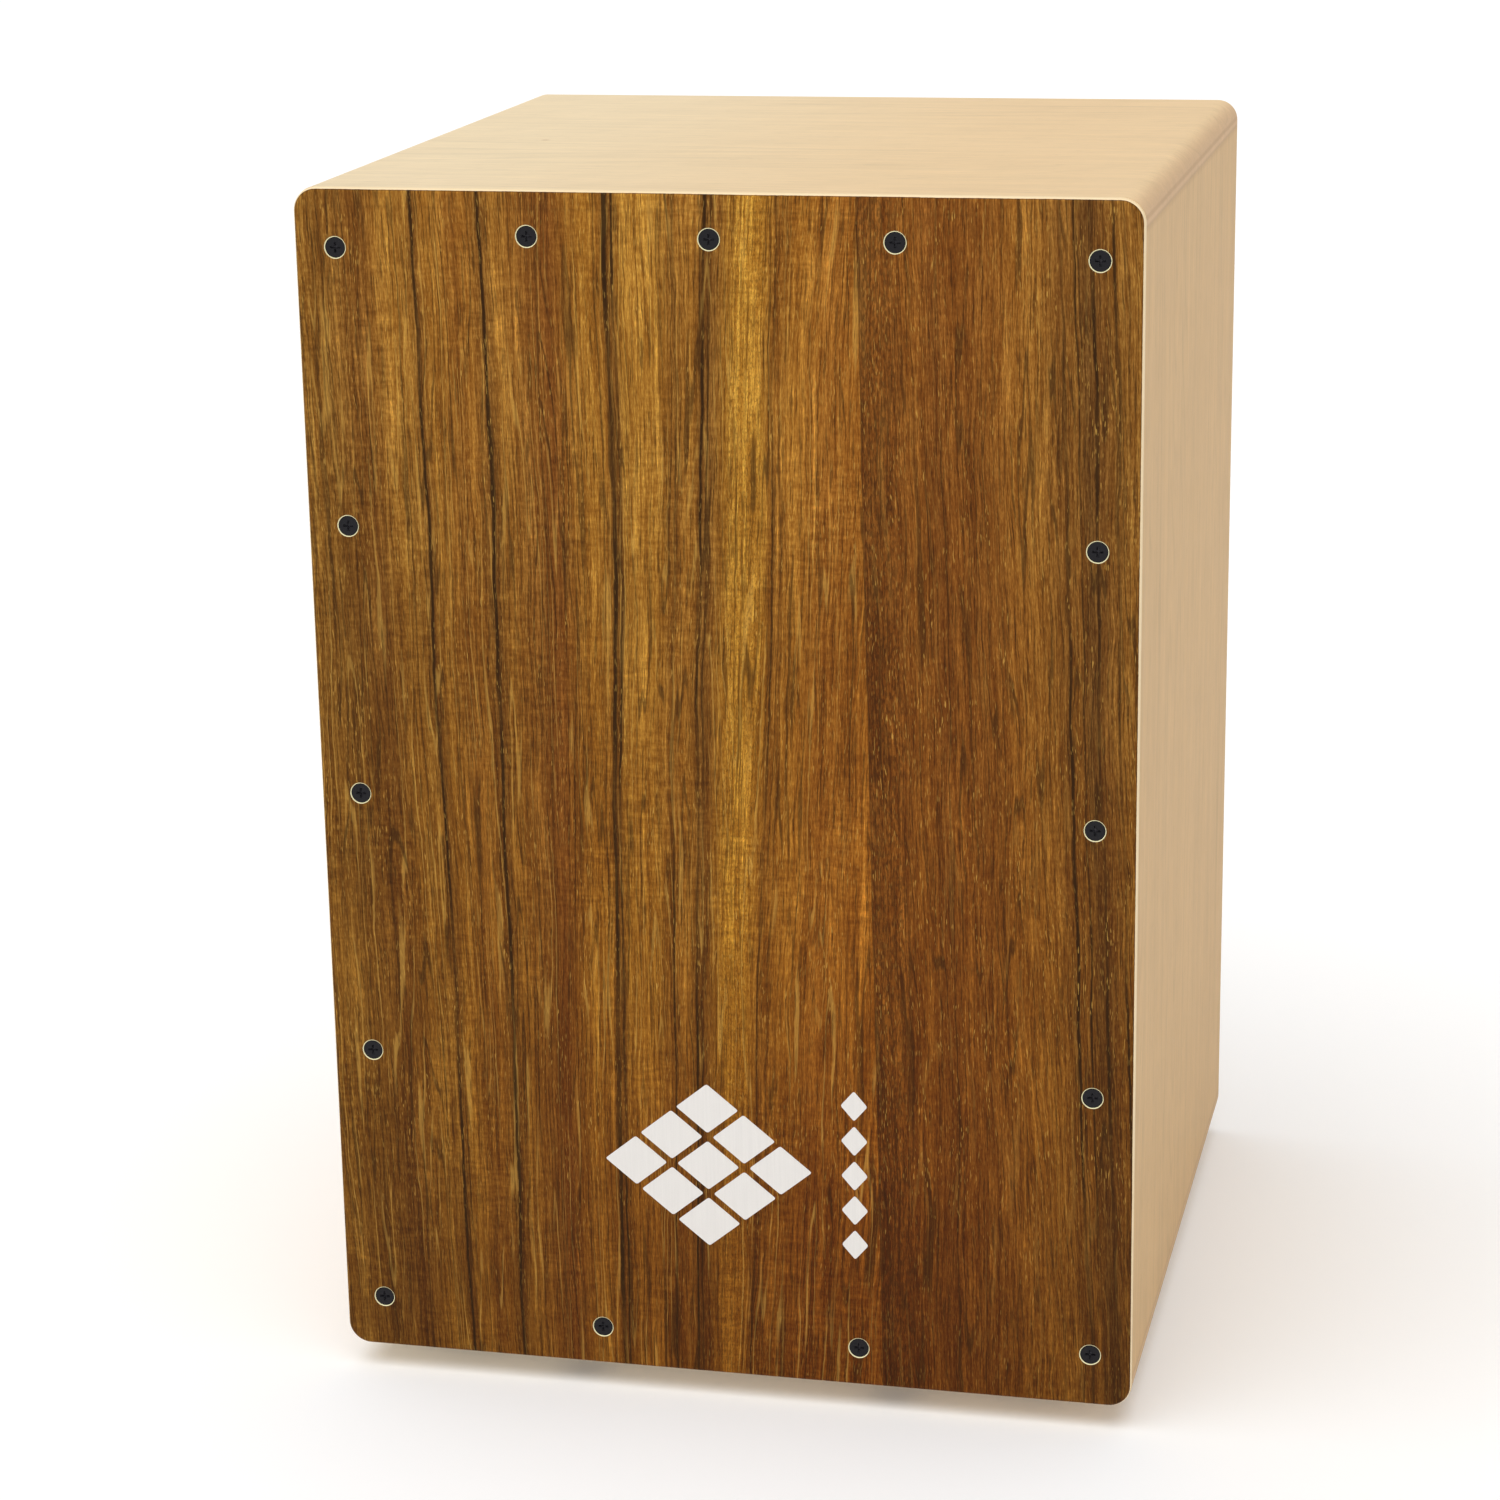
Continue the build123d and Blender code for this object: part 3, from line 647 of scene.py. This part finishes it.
def front_and_rear_edge(s, wood, depth):
    """Shows the glued layers where a panel's cut edge faces the front or the rear."""
    facing = s.range(s.size(s.split(s.normal)[1]), 0.6, 0.8)
    rough = s.add(depth, s.centred(s.noise(s.place, (2.5, 2.5, 2.5), 31), 0.35))
    return s.mix(s.times(facing, dark_layers(s, rough, EDGE_LAYERS)), wood, PLY_DARK)


def end_layers(s, wood, _tone):
    """Shows the layers of the side panels at their rear edges, and the shade along their seams."""
    from_side = s.minus(HALF_WIDTH, s.size(s.x))
    from_level = s.minus(HALF_HEIGHT, s.distance(s.z, MID_Z))
    wood = s.mix(s.range(from_level, PANEL, PANEL + 2.5, 0.25, 0.0), wood, PLY_DARK)
    return front_and_rear_edge(s, wood, s.math("MINIMUM", from_side, from_level))


def level_layers(s, wood, tone):
    """Shows the layers of the top and bottom panels on their rounded ends and rear edges."""
    depth = s.minus(HALF_HEIGHT, s.distance(s.z, MID_Z))
    wood = s.mix(s.range(s.x, 100, -140, 0.0, 0.9), wood, s.shade(TOP_WOOD_PALE, tone))
    off_knot = s.math("SQRT", s.add(s.square(s.x, KNOT_X), s.square(s.y, KNOT_Y)))
    wood = s.mix(s.range(off_knot, KNOT_R, 0.3, 0.0, 0.5), wood, KNOT_WOOD)
    # The rounded ends turn darker as they face sideways: partly end grain, partly painted shade of
    # the rounding
    end_grain_and_shade = s.range(s.size(s.split(s.normal)[0]), 0.2, 1.0)
    wood = s.mix(end_grain_and_shade, wood, s.shade(ROUNDED_WOOD, tone))
    wavy = s.add(depth, s.centred(s.noise(s.place, (5, 5, 5), 33), 0.5))
    darkness = s.times(end_grain_and_shade, dark_layers(s, wavy, ROUNDED_LAYERS))
    wood = s.mix(darkness, wood, PLY_DARK)
    return front_and_rear_edge(s, wood, depth)


def sound_hole_layers(s, wood, _tone):
    """Shows the back panel's layers on the rounded edge of the sound hole."""
    low, high = (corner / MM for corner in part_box("back_panel"))
    depth = s.minus(s.y, low.y)
    stripes = s.math("PINGPONG", depth, (high.y - low.y) / SOUND_HOLE_LAYERS)
    first, last = low.y + SOUND_HOLE_EDGE, high.y - SOUND_HOLE_EDGE
    inside = s.times(s.range(s.y, first, first + 0.1), s.range(s.y, last, last - 0.1))
    return s.mix(s.times(inside, s.range(stripes, 0.42, 0.6), 0.6), wood, PLY_DARK)


def batten_wood(name, axis, seed):
    """Sawn and sanded solid wood, open grained and without lacquer."""
    s = Shader(name, Specular_IOR_Level=0.2)
    grain = along(s, axis)
    rings = s.noise(grain, (3.0, 3.0, 160), seed, detail=3)
    fibre = s.noise(grain, (0.6, 0.6, 15), seed + 1)
    fuzz = s.noise(grain, (0.25, 0.25, 2.0), seed + 2, detail=1)
    tone = s.add(1.0, s.centred(rings, 0.5), s.centred(fibre, 0.25), s.centred(fuzz, 0.15))
    s.paint(s.shade(BATTEN_WOOD, tone))
    s.gloss(s.add(0.72, s.centred(fibre, 0.2)))
    s.relief(s.add(fibre, fuzz), 0.06, 0.5)
    return s.material


def print_ink():
    """Off-white screen-print ink that lets a little of the grain show."""
    s = Shader("print_ink", Specular_IOR_Level=0.25)
    streak = s.noise(s.place, (0.8, 1, 26), 41)
    grit = s.noise(s.place, (0.35, 0.35, 0.35), 42, detail=1)
    tone = s.add(1.0, s.centred(streak, 0.10), s.centred(grit, 0.08))
    s.paint(s.shade(INK, tone))
    s.gloss(s.add(0.5, s.centred(grit, 0.2)))
    s.relief(s.add(streak, grit), 0.02, 0.4)
    return s.material


def plain_metal(name, tint, roughness, brush=(0.4, 0.4, 0.4), seed=50, metallic=1.0, wear=0.0):
    """Metal with a fine brushed or grainy surface and slight stains."""
    s = Shader(name, Metallic=metallic)
    lines = s.noise(s.place, brush, seed, detail=2)
    stain = s.noise(s.place, (4.0, 4.0, 4.0), seed + 1)
    tone = s.add(1.0, s.centred(lines, 0.18), s.centred(stain, 0.16 + wear))
    s.paint(s.shade(tint, tone))
    s.gloss(s.add(roughness, s.centred(lines, 0.16), s.centred(stain, 0.12)))
    s.relief(lines, 0.01, 0.35)
    return s.material


def screw_black():
    """Black-oxide screw, with its coating rubbed paler inside the cross recess."""
    s = Shader("screw_black", Specular_IOR_Level=0.2)
    grit = s.noise(s.place, (0.5, 0.5, 0.5), 50, detail=3)
    rubbed = s.times(s.range(s.y, FRONT + 0.55, FRONT + 0.85), s.range(grit, 0.3, 0.6, 0.5, 1.0))
    tint = s.mix(rubbed, SCREW_BLACK, RUBBED_BLACK)
    s.paint(s.shade(tint, s.add(1.0, s.centred(grit, 0.9))))
    s.gloss(s.add(0.5, s.centred(grit, 0.3)))
    s.relief(grit, 0.03, 0.6)
    return s.material


def string_winding():
    """Bronze wire wound closely round a steel core."""
    s = Shader("string_bronze", Metallic=1.0)
    turn = s.math("PINGPONG", s.z, 0.16)
    stain = s.noise(s.place, (1.0, 1.0, 9.0), 61)
    # Painted shade in the grooves between the turns of wire, lighter towards their crests
    tone = s.add(0.82, s.times(turn, 1.6), s.centred(stain, 0.3))
    s.paint(s.shade(BRONZE, tone))
    s.gloss(s.add(0.3, s.centred(stain, 0.2)))
    s.relief(s.times(turn, 6.0), 0.05, 0.7)
    return s.material


def foot_rubber():
    """Matt black moulded rubber with a fine grain and a little dust."""
    s = Shader("foot_rubber", Specular_IOR_Level=0.35)
    grit = s.noise(s.place, (0.35, 0.35, 0.35), 71, detail=2)
    dust = s.noise(s.place, (5.0, 5.0, 3.0), 72)
    s.paint(s.shade(RUBBER, s.add(1.0, s.centred(grit, 0.4), s.centred(dust, 0.5))))
    s.gloss(s.add(0.72, s.centred(dust, 0.2)))
    s.relief(grit, 0.04, 0.6)
    return s.material


def dress(names, material):
    """Gives CAD nodes a finish."""
    for name in names:
        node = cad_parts[name]
        if not node.material_slots:
            node.data.materials.append(None)
        for place in node.material_slots:
            place.material = material


def piece(name, vertices, faces, material, sharp=35.0):
    """New mesh object from millimetre points, smooth except at its sharp edges."""
    mesh = bpy.data.meshes.new(name)
    mesh.from_pydata([tuple(c * MM for c in v) for v in vertices], [], faces)
    mesh.validate()
    mesh.shade_smooth()
    mesh.set_sharp_from_angle(angle=math.radians(sharp))
    mesh.materials.append(material)
    made = bpy.data.objects.new(name, mesh)
    bpy.context.scene.collection.objects.link(made)
    return made


class Surface:
    """Points and faces of one mesh, gathered from several closed forms."""

    def __init__(self):
        self.points = []
        self.faces = []

    def add_rings(self, rings, closed=False):
        """Joins rings of equal count into a skin. Open stacks get flat caps at both ends."""
        first = len(self.points)
        count = len(rings[0])
        for ring in rings:
            self.points.extend(ring)
        pairs = list(zip(range(len(rings)), range(1, len(rings))))
        if closed:
            pairs.append((len(rings) - 1, 0))
        for low, high in pairs:
            for i in range(count):
                j = (i + 1) % count
                corners = (low * count + i, low * count + j, high * count + j, high * count + i)
                self.faces.append([first + c for c in corners])
        if not closed:
            last = first + (len(rings) - 1) * count
            self.faces.append([first + i for i in reversed(range(count))])
            self.faces.append([last + i for i in range(count)])

    def finish(self, name, material, body, slot, replaced=(), sharp=35.0):
        """Makes the piece, puts it on its body and hides the CAD nodes that it replaces."""
        made = piece(name, self.points, self.faces, material, sharp)
        if body:
            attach(made, body)
        if replaced:
            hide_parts(*replaced)
        return made


def turned_rings(profile, sides, centre, axis="z"):
    """Rings about an axis from (height, radius) pairs; a radius may be a function of the angle."""
    rings = []
    for height, radius in profile:
        ring = []
        for i in range(sides):
            angle = math.tau * i / sides
            r = radius(angle) if callable(radius) else radius
            u, v = r * math.cos(angle), r * math.sin(angle)
            place = (u, v, height) if axis == "z" else (height, u, v)
            ring.append(centre + Vector(place))
        rings.append(ring)
    return rings


def frames_along(path):
    """Two unit vectors square to the path at each of its points, turning as little as possible."""
    side = None
    out = []
    last = len(path) - 1
    for i in range(len(path)):
        ahead = (path[min(i + 1, last)] - path[max(i - 1, 0)]).normalized()
        if side is None:
            side = ahead.orthogonal().normalized()
        side = (side - ahead * side.dot(ahead)).normalized()
        out.append((side, ahead.cross(side)))
    return out


def tube_rings(path, radius, sides):
    """Rings of a round tube along a path."""
    rings = []
    for point, (side, up) in zip(path, frames_along(path)):
        ring = []
        for i in range(sides):
            angle = math.tau * i / sides
            ring.append(point + (side * math.cos(angle) + up * math.sin(angle)) * radius)
        rings.append(ring)
    return rings


def eased(corners, steps=5, reach=0.9):
    """Path through corners, each rounded within this reach by a short curve."""
    path = [corners[0]]
    for before, corner, after in zip(corners, corners[1:], corners[2:]):
        start = corner + (before - corner).normalized() * reach
        end = corner + (after - corner).normalized() * reach
        for i in range(steps + 1):
            t = i / steps
            path.append(start * (1 - t) ** 2 + corner * 2 * t * (1 - t) + end * t**2)
    path.append(corners[-1])
    return path


def helix_round(path, radius, pitch, sides_per_turn=14):
    """Helix that winds round a path at a radius."""
    lengths = [(b - a).length for a, b in zip(path, path[1:])]
    total = sum(lengths)
    steps = int(total / pitch * sides_per_turn)
    frames = frames_along(path)
    out = []
    for k in range(steps + 1):
        distance = total * k / steps
        i = 0
        while i < len(lengths) - 1 and distance > lengths[i]:
            distance -= lengths[i]
            i += 1
        point = path[i].lerp(path[i + 1], min(distance / lengths[i], 1.0))
        side, up = frames[i]
        angle = math.tau * k / sides_per_turn
        out.append(point + (side * math.cos(angle) + up * math.sin(angle)) * radius)
    return out


def string_corners(node, leaning):
    """Corners of a taut string, from its lower ball over both bridging edges to its upper ball.

    Leaning is 1 where the string goes towards +X on its way up, and -1 where it goes towards -X.
    """
    low, high = (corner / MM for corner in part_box(node))
    side = "left" if "_left_" in node else "right"
    carriage_low, carriage_high = (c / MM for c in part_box(f"tension_carriage_{side}"))
    bar_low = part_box("string_hitch_bar")[0].z / MM
    near, far = low.y + WIRE_R, high.y - WIRE_R
    if leaning > 0:
        foot_x, head_x = low.x + WIRE_R, high.x - WIRE_R
    else:
        foot_x, head_x = high.x - WIRE_R, low.x + WIRE_R
    lip = carriage_low.z + CARRIAGE_LIP
    lean = (head_x - foot_x) / (high.z - lip)

    def at(y, z):
        return Vector((foot_x + lean * (z - lip), y, z))

    return [
        Vector((foot_x, far, low.z)),
        Vector((foot_x, far, lip + EDGE_GAP)),
        at(near, carriage_high.z - CARRIAGE_LIP - EDGE_GAP),
        at(near, bar_low + HITCH_NOSE + EDGE_GAP),
        at(far, high.z - BALL_R),
        Vector((head_x, far, high.z)),
    ]


def divided(start, end, count):
    """Points that divide a line evenly, without its ends."""
    return [start.lerp(end, i / count) for i in range(1, count)]


def make_string(node, leaning, material):
    """Wound string with twisted ends. It stretches between the box and its carriage."""
    corners = string_corners(node, leaning)
    path = eased(corners)
    # More points on the long straight run
    middle = len(path) // 2
    path[middle:middle] = divided(path[middle - 1], path[middle], 16)
    surface = Surface()
    surface.add_rings(tube_rings(path, WIRE_R, 12))
    # Twists start at the lower ball and at the upper ball
    for end in (corners[:3], corners[:2:-1]):
        tail = [end[0], end[1], end[1].lerp(end[2], 0.45)]
        wound = helix_round(tail, WIRE_R + TWIST_WIRE_R * 0.7, TWIST_PITCH)
        surface.add_rings(tube_rings(wound, TWIST_WIRE_R, 6))
    made = surface.finish(f"{node}_wound", material, None, "string_bronze", (node,))
    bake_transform(made)
    return made


def add_ball_end(surface, centre):
    """Brass barrel along X with a waist."""
    shoulder = BALL_HALF * 0.42
    profile = [
        (-BALL_HALF, BALL_R * 0.45),
        (-BALL_HALF, BALL_R * 0.82),
        (-BALL_HALF * 0.9, BALL_R * 0.97),
        (-shoulder - 0.3, BALL_R),
        (-shoulder, BALL_R * 0.95),
        (-shoulder * 0.55, BALL_WAIST_R),
        (shoulder * 0.55, BALL_WAIST_R),
        (shoulder, BALL_R * 0.95),
        (shoulder + 0.3, BALL_R),
        (BALL_HALF * 0.9, BALL_R * 0.97),
        (BALL_HALF, BALL_R * 0.82),
        (BALL_HALF, BALL_R * 0.45),
    ]
    surface.add_rings(turned_rings(profile, 32, centre, "x"))


def add_string_loop(surface, centre):
    """Loop of string wire seated in a ball end's waist."""
    ring_r = BALL_WAIST_R + LOOP_R
    rings = []
    for i in range(28):
        angle = math.tau * i / 28
        out = Vector((0, math.cos(angle), math.sin(angle)))
        ring = []
        for j in range(8):
            turn = math.tau * j / 8
            offset = out * math.cos(turn) + Vector((1, 0, 0)) * math.sin(turn)
            ring.append(centre + out * ring_r + offset * LOOP_R)
        rings.append(ring)
    surface.add_rings(rings, closed=True)


def ball_end_pieces(brass, bronze):
    """Ball ends with the string loops round them: in the hitch bar, and below each carriage."""
    groups = {"upper_ball_ends": "box"}
    for side in SIDES:
        groups[f"lower_ball_ends_{side}"] = f"carriage_{side}"
    for node, body in groups.items():
        low, high = (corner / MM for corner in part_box(node))
        middle = (low + high) / 2
        if node == "upper_ball_ends":
            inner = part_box("string_right_inner")[0].x / MM + WIRE_R
            outer = high.x - BALL_HALF
            places = [-outer, -inner, inner, outer]
        else:
            places = [low.x + BALL_HALF, high.x - BALL_HALF]
        balls, loops = Surface(), Surface()
        for x in places:
            centre = Vector((x, middle.y, middle.z))
            add_ball_end(balls, centre)
            add_string_loop(loops, centre)
        balls.finish(f"{node}_turned", brass, body, "ball_brass", (node,))
        loops.finish(f"{node}_loops", bronze, body, "string_bronze")


def hexagon_radius(angle):
    """Radius of the hex socket's wall at an angle."""
    sixth = math.tau / 6
    return BOLT_KEY_HALF / math.cos((angle + sixth / 2) % sixth - sixth / 2)


def knurled_radius(angle):
    """Radius of the bolt head with its grip ridges at an angle."""
    return BOLT_HEAD_R - KNURL_DEPTH * (0.5 - 0.5 * math.cos(KNURL_RIDGES * angle))


def tension_bolt(side, steel):
    """Socket-head bolt with a knurled head, a hex socket and a real thread."""
    node = f"tension_bolt_{side}"
    low, high = (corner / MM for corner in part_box(node))
    axis = Vector(((low.x + high.x) / 2, (low.y + high.y) / 2, 0))
    base = low.z
    seat = base + BOLT_HEAD_H
    head = [
        (base + BOLT_SOCKET + 0.7, 0.05),
        (base + BOLT_SOCKET, hexagon_radius),
        (base + 0.35, hexagon_radius),
        (base, lambda angle: hexagon_radius(angle) + 0.3),
        (base, BOLT_HEAD_R - 0.7),
        (base + 0.12, BOLT_HEAD_R - 0.4),
        (base + 0.5, BOLT_HEAD_R - 0.12),
        (base + 0.8, knurled_radius),
        (seat - 0.9, knurled_radius),
        (seat - 0.5, BOLT_HEAD_R - 0.1),
        (seat, BOLT_HEAD_R - 0.1),
        (seat, 0.05),
    ]
    surface = Surface()
    surface.add_rings([ring[::-1] for ring in turned_rings(head, 144, axis)])
    shank = [
        (seat - 0.4, BOLT_ROOT_R),
        (high.z - 0.8, BOLT_ROOT_R),
        (high.z - 0.1, BOLT_ROOT_R - 0.6),
        (high.z, BOLT_ROOT_R - 0.9),
    ]
    surface.add_rings(turned_rings(shank, 32, axis))
    surface.add_rings(thread_rings(axis, seat + 1.0, high.z - 1.2))
    surface.finish(f"{node}_threaded", steel, f"bolt_{side}", "bolt_steel", (node,), sharp=28.0)


def thread_rings(axis, start, end, per_turn=24):
    """Sections of a thread ridge that winds up the bolt and fades out at both ends."""
    turns = (end - start) / BOLT_PITCH
    steps = int(turns * per_turn)
    rings = []
    for k in range(steps + 1):
        angle = math.tau * k / per_turn
        height = start + BOLT_PITCH * k / per_turn
        fade = min(1.0, k / per_turn, (steps - k) / per_turn)
        crest = BOLT_ROOT_R + (BOLT_R - BOLT_ROOT_R) * max(fade, 0.05)
        out = Vector((math.cos(angle), math.sin(angle), 0))
        section = [
            (BOLT_ROOT_R - 0.1, -0.42),
            (crest, -0.07),
            (crest, 0.07),
            (BOLT_ROOT_R - 0.1, 0.42),
        ]
        ring = []
        for r, rise in section:
            ring.append(axis + out * r + Vector((0, 0, height + rise * BOLT_PITCH)))
        rings.append(ring)
    return rings


def rubber_foot(node, rubber):
    """Moulded foot with rounded edges, grip grooves round its side and a recess for the screw."""
    low, high = (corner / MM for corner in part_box(node))
    centre = (low + high) / 2
    centre.z = 0
    top_r = (high.x - low.x) / 2
    base_r = top_r - FOOT_TAPER
    recess_r = FOOT_RECESS_R
    profile = [
        (FOOT_RECESS_Z, FOOT_BORE_R),
        (FOOT_RECESS_Z, recess_r - 0.2),
        (FOOT_RECESS_Z - 0.2, recess_r),
        (0.5, recess_r),
        (0.15, recess_r + 0.15),
        (0.0, recess_r + 0.5),
        (0.0, recess_r + 2.4),
        (0.45, recess_r + 2.8),
        (0.45, recess_r + 3.4),
        (0.0, recess_r + 3.8),
        (0.0, base_r - 1.0),
        (0.12, base_r - 0.55),
        (0.45, base_r - 0.15),
        (0.9, base_r),
    ]
    for groove in FOOT_GROOVES:
        wall = base_r + (groove - FOOT_WALL_Z) / FOOT_WALL_HEIGHT * FOOT_TAPER
        profile += [(groove - 0.35, wall - 0.05), (groove - 0.2, wall - 0.4)]
        profile += [(groove + 0.2, wall - 0.4), (groove + 0.35, wall + 0.02)]
    profile += [
        (high.z - 1.0, top_r - 0.05),
        (high.z - 0.5, top_r),
        (high.z - 0.12, top_r - 0.06),
        (high.z, top_r - 0.25),
        (high.z, FOOT_BORE_R),
    ]
    surface = Surface()
    surface.add_rings([ring[::-1] for ring in turned_rings(profile, 96, centre)], closed=True)
    surface.finish(f"{node}_moulded", rubber, "box", "foot_rubber", (node,), sharp=40.0)


def rounded_rhombus(x, z, half_x, half_z):
    """Outline of a rhombus with rounded corners, in the plane of the plate."""
    tips = [Vector((x + half_x, 0, z)), Vector((x, 0, z + half_z))]
    tips += [Vector((x - half_x, 0, z)), Vector((x, 0, z - half_z))]
    outline = []
    for i, tip in enumerate(tips):
        before, after = tips[i - 1], tips[(i + 1) % 4]
        start = tip + (before - tip).normalized() * INK_CORNER_R
        end = tip + (after - tip).normalized() * INK_CORNER_R
        for step in range(5):
            t = step / 4
            outline.append(start * (1 - t) ** 2 + tip * 2 * t * (1 - t) + end * t**2)
    return outline


def print_mark(ink):
    """Generic mark on the plate: a diamond made of small rhombi beside a column of them."""
    cells = []
    step_x, step_z = (half / LATTICE_CELLS for half in LATTICE_HALF)
    for i in range(LATTICE_CELLS):
        for j in range(LATTICE_CELLS):
            place = (LATTICE_X + (i - j) * step_x, LATTICE_Z + (i + j - LATTICE_CELLS + 1) * step_z)
            cells.append((*place, step_x * LATTICE_GAP, step_z * LATTICE_GAP))
    half_z = COLUMN_HALF[1] / COLUMN_CELLS
    for i in range(COLUMN_CELLS):
        z = LATTICE_Z + (2 * i + 1 - COLUMN_CELLS) * half_z
        cells.append((COLUMN_X, z, COLUMN_HALF[0], half_z * LATTICE_GAP))
    surface = Surface()
    for cell in cells:
        outline = rounded_rhombus(*cell)
        front = [p + Vector((0, FRONT - INK_THICKNESS, 0)) for p in outline]
        back = [p + Vector((0, FRONT, 0)) for p in outline]
        surface.add_rings([back, front])
    surface.finish("print_mark", ink, "box", "print_ink", sharp=30.0)


def dress_body():
    """Finishes of the wooden parts."""
    dress(["front_plate"], plate_veneer())
    dress(["top_panel"], pale_wood("top_wood", TOP_WOOD, "x", 100, 1.0, level_layers))
    dress(["bottom_panel"], pale_wood("bottom_wood", TOP_WOOD, "x", 120, 1.0, level_layers))
    dress(["right_panel"], pale_wood("right_wood", SIDE_WOOD, "z", 140, 1.25, end_layers))
    dress(["left_panel"], pale_wood("left_wood", SIDE_WOOD, "z", 160, 1.25, end_layers))
    dress(["back_panel"], pale_wood("back_wood", SIDE_WOOD, "z", 180, 1.25, sound_hole_layers))
    rails = [f"{row}_batten_{end}" for row in ("front", "rear") for end in ("top", "bottom")]
    stiles = [f"{row}_batten_{side}" for row in ("front", "rear") for side in SIDES]
    dress(rails, batten_wood("rail_wood", "x", 200))
    dress(stiles, batten_wood("stile_wood", "z", 210))


def dress_hardware():
    """Finishes of the metal CAD parts."""
    dress([f"plate_screws_{row}" for row in ("top", "left", "right", "bottom")], screw_black())
    zinc = plain_metal("zinc_steel", ZINC_GREY, 0.34, seed=52, wear=0.1)
    dress(["hitch_screws", "guide_screws", "foot_screws", "foot_washers", "bolt_washers"], zinc)
    dress([f"tension_guide_{side}" for side in SIDES], zinc)
    drawn = plain_metal("hitch_aluminium", BAR_GREY, 0.32, brush=(30, 0.3, 0.3), seed=54)
    dress(["string_hitch_bar"], drawn)
    milled = plain_metal("carriage_steel", CARRIAGE_GREY, 0.3, brush=(8, 0.25, 0.25), seed=56)
    dress([f"tension_carriage_{side}" for side in SIDES], milled)


def make_details():
    """Pieces that replace the plain CAD solids of the strings, bolts and feet, and the print."""
    bronze = string_winding()
    for side, sign in SIDES.items():
        make_string(f"string_{side}_outer", sign, bronze)
        make_string(f"string_{side}_inner", -sign, bronze)
    brass = plain_metal("ball_brass", BRASS, 0.24, brush=(0.3, 1, 1), seed=58)
    ball_end_pieces(brass, bronze)
    steel = plain_metal("bolt_steel", BOLT_BLACK, 0.38, (0.5, 0.5, 0.5), seed=60, metallic=0.8)
    rubber = foot_rubber()
    for side in SIDES:
        tension_bolt(side, steel)
        for row in ("front", "rear"):
            rubber_foot(f"foot_{row}_{side}", rubber)
    print_mark(print_ink())


def make_floor():
    """Plain pale studio floor."""
    half = FLOOR_SIZE / 2
    mesh = bpy.data.meshes.new("floor")
    corners = [(-half, -half, 0), (half, -half, 0), (half, half, 0), (-half, half, 0)]
    mesh.from_pydata(corners, [], [(0, 1, 2, 3)])
    s = Shader("floor_paint", Roughness=0.9, Specular_IOR_Level=0.0, Emission_Strength=FLOOR_GLOW)
    s.feed(s.surface.inputs["Emission Color"], (1, 1, 1, 1))
    cloud = s.noise(s.place, (900, 900, 900), 80)
    s.paint(s.shade(FLOOR_GREY, s.add(1.0, s.centred(cloud, 0.01))))
    mesh.materials.append(s.material)
    floor = bpy.data.objects.new("floor", mesh)
    bpy.context.scene.collection.objects.link(floor)


def make_lights():
    """Soft overhead light and an even white sky that is brightest near the horizon."""
    sun = bpy.data.lights.new("overhead_light", "SUN")
    sun.energy = SUN_STRENGTH
    sun.angle = math.radians(SUN_SPREAD)
    lamp = bpy.data.objects.new("overhead_light", sun)
    lamp.rotation_euler = Euler([math.radians(degrees) for degrees in SUN_TILT] + [0])
    lamp.location = (0, 0, 3)
    bpy.context.scene.collection.objects.link(lamp)

    world = bpy.data.worlds.new("studio_sky")
    bpy.context.scene.world = world
    world.use_nodes = True
    nodes, links = world.node_tree.nodes, world.node_tree.links
    direction = nodes.new("ShaderNodeTexCoord").outputs["Generated"]
    height = nodes.new("ShaderNodeSeparateXYZ")
    links.new(direction, height.inputs[0])
    fade = nodes.new("ShaderNodeMapRange")
    fade.interpolation_type = "SMOOTHSTEP"
    sockets = ("From Min", "From Max", "To Min", "To Max")
    for socket, value in zip(sockets, (*SKY_FADE, SKY_HORIZON, SKY_BASE)):
        fade.inputs[socket].default_value = value
    links.new(height.outputs["Z"], fade.inputs["Value"])
    links.new(fade.outputs["Result"], nodes["Background"].inputs["Strength"])
    nodes["Background"].inputs["Color"].default_value = (1, 1, 1, 1)
    bpy.context.scene.view_settings.view_transform = "Standard"


def make_camera():
    """Camera at the photograph's viewing angle."""
    data = bpy.data.cameras.new("camera")
    data.lens = CAMERA_LENS
    data.sensor_width = CAMERA_SENSOR
    data.clip_end = 100
    camera = bpy.data.objects.new("camera", data)
    flat = math.cos(CAMERA_ELEVATION)
    back = Vector(
        (
            math.sin(CAMERA_AZIMUTH) * flat,
            -math.cos(CAMERA_AZIMUTH) * flat,
            math.sin(CAMERA_ELEVATION),
        )
    )
    level = back.cross(Vector((0, 0, -1))).normalized()
    upright = back.cross(level)
    right = level * math.cos(CAMERA_ROLL) + upright * math.sin(CAMERA_ROLL)
    up = upright * math.cos(CAMERA_ROLL) - level * math.sin(CAMERA_ROLL)
    turn = Matrix((right, up, back)).transposed().to_4x4()
    camera.matrix_world = Matrix.Translation(CAMERA_PLACE) @ turn
    bpy.context.scene.collection.objects.link(camera)
    bpy.context.scene.camera = camera


make_camera()
dress_body()
dress_hardware()
make_details()
make_floor()
make_lights()
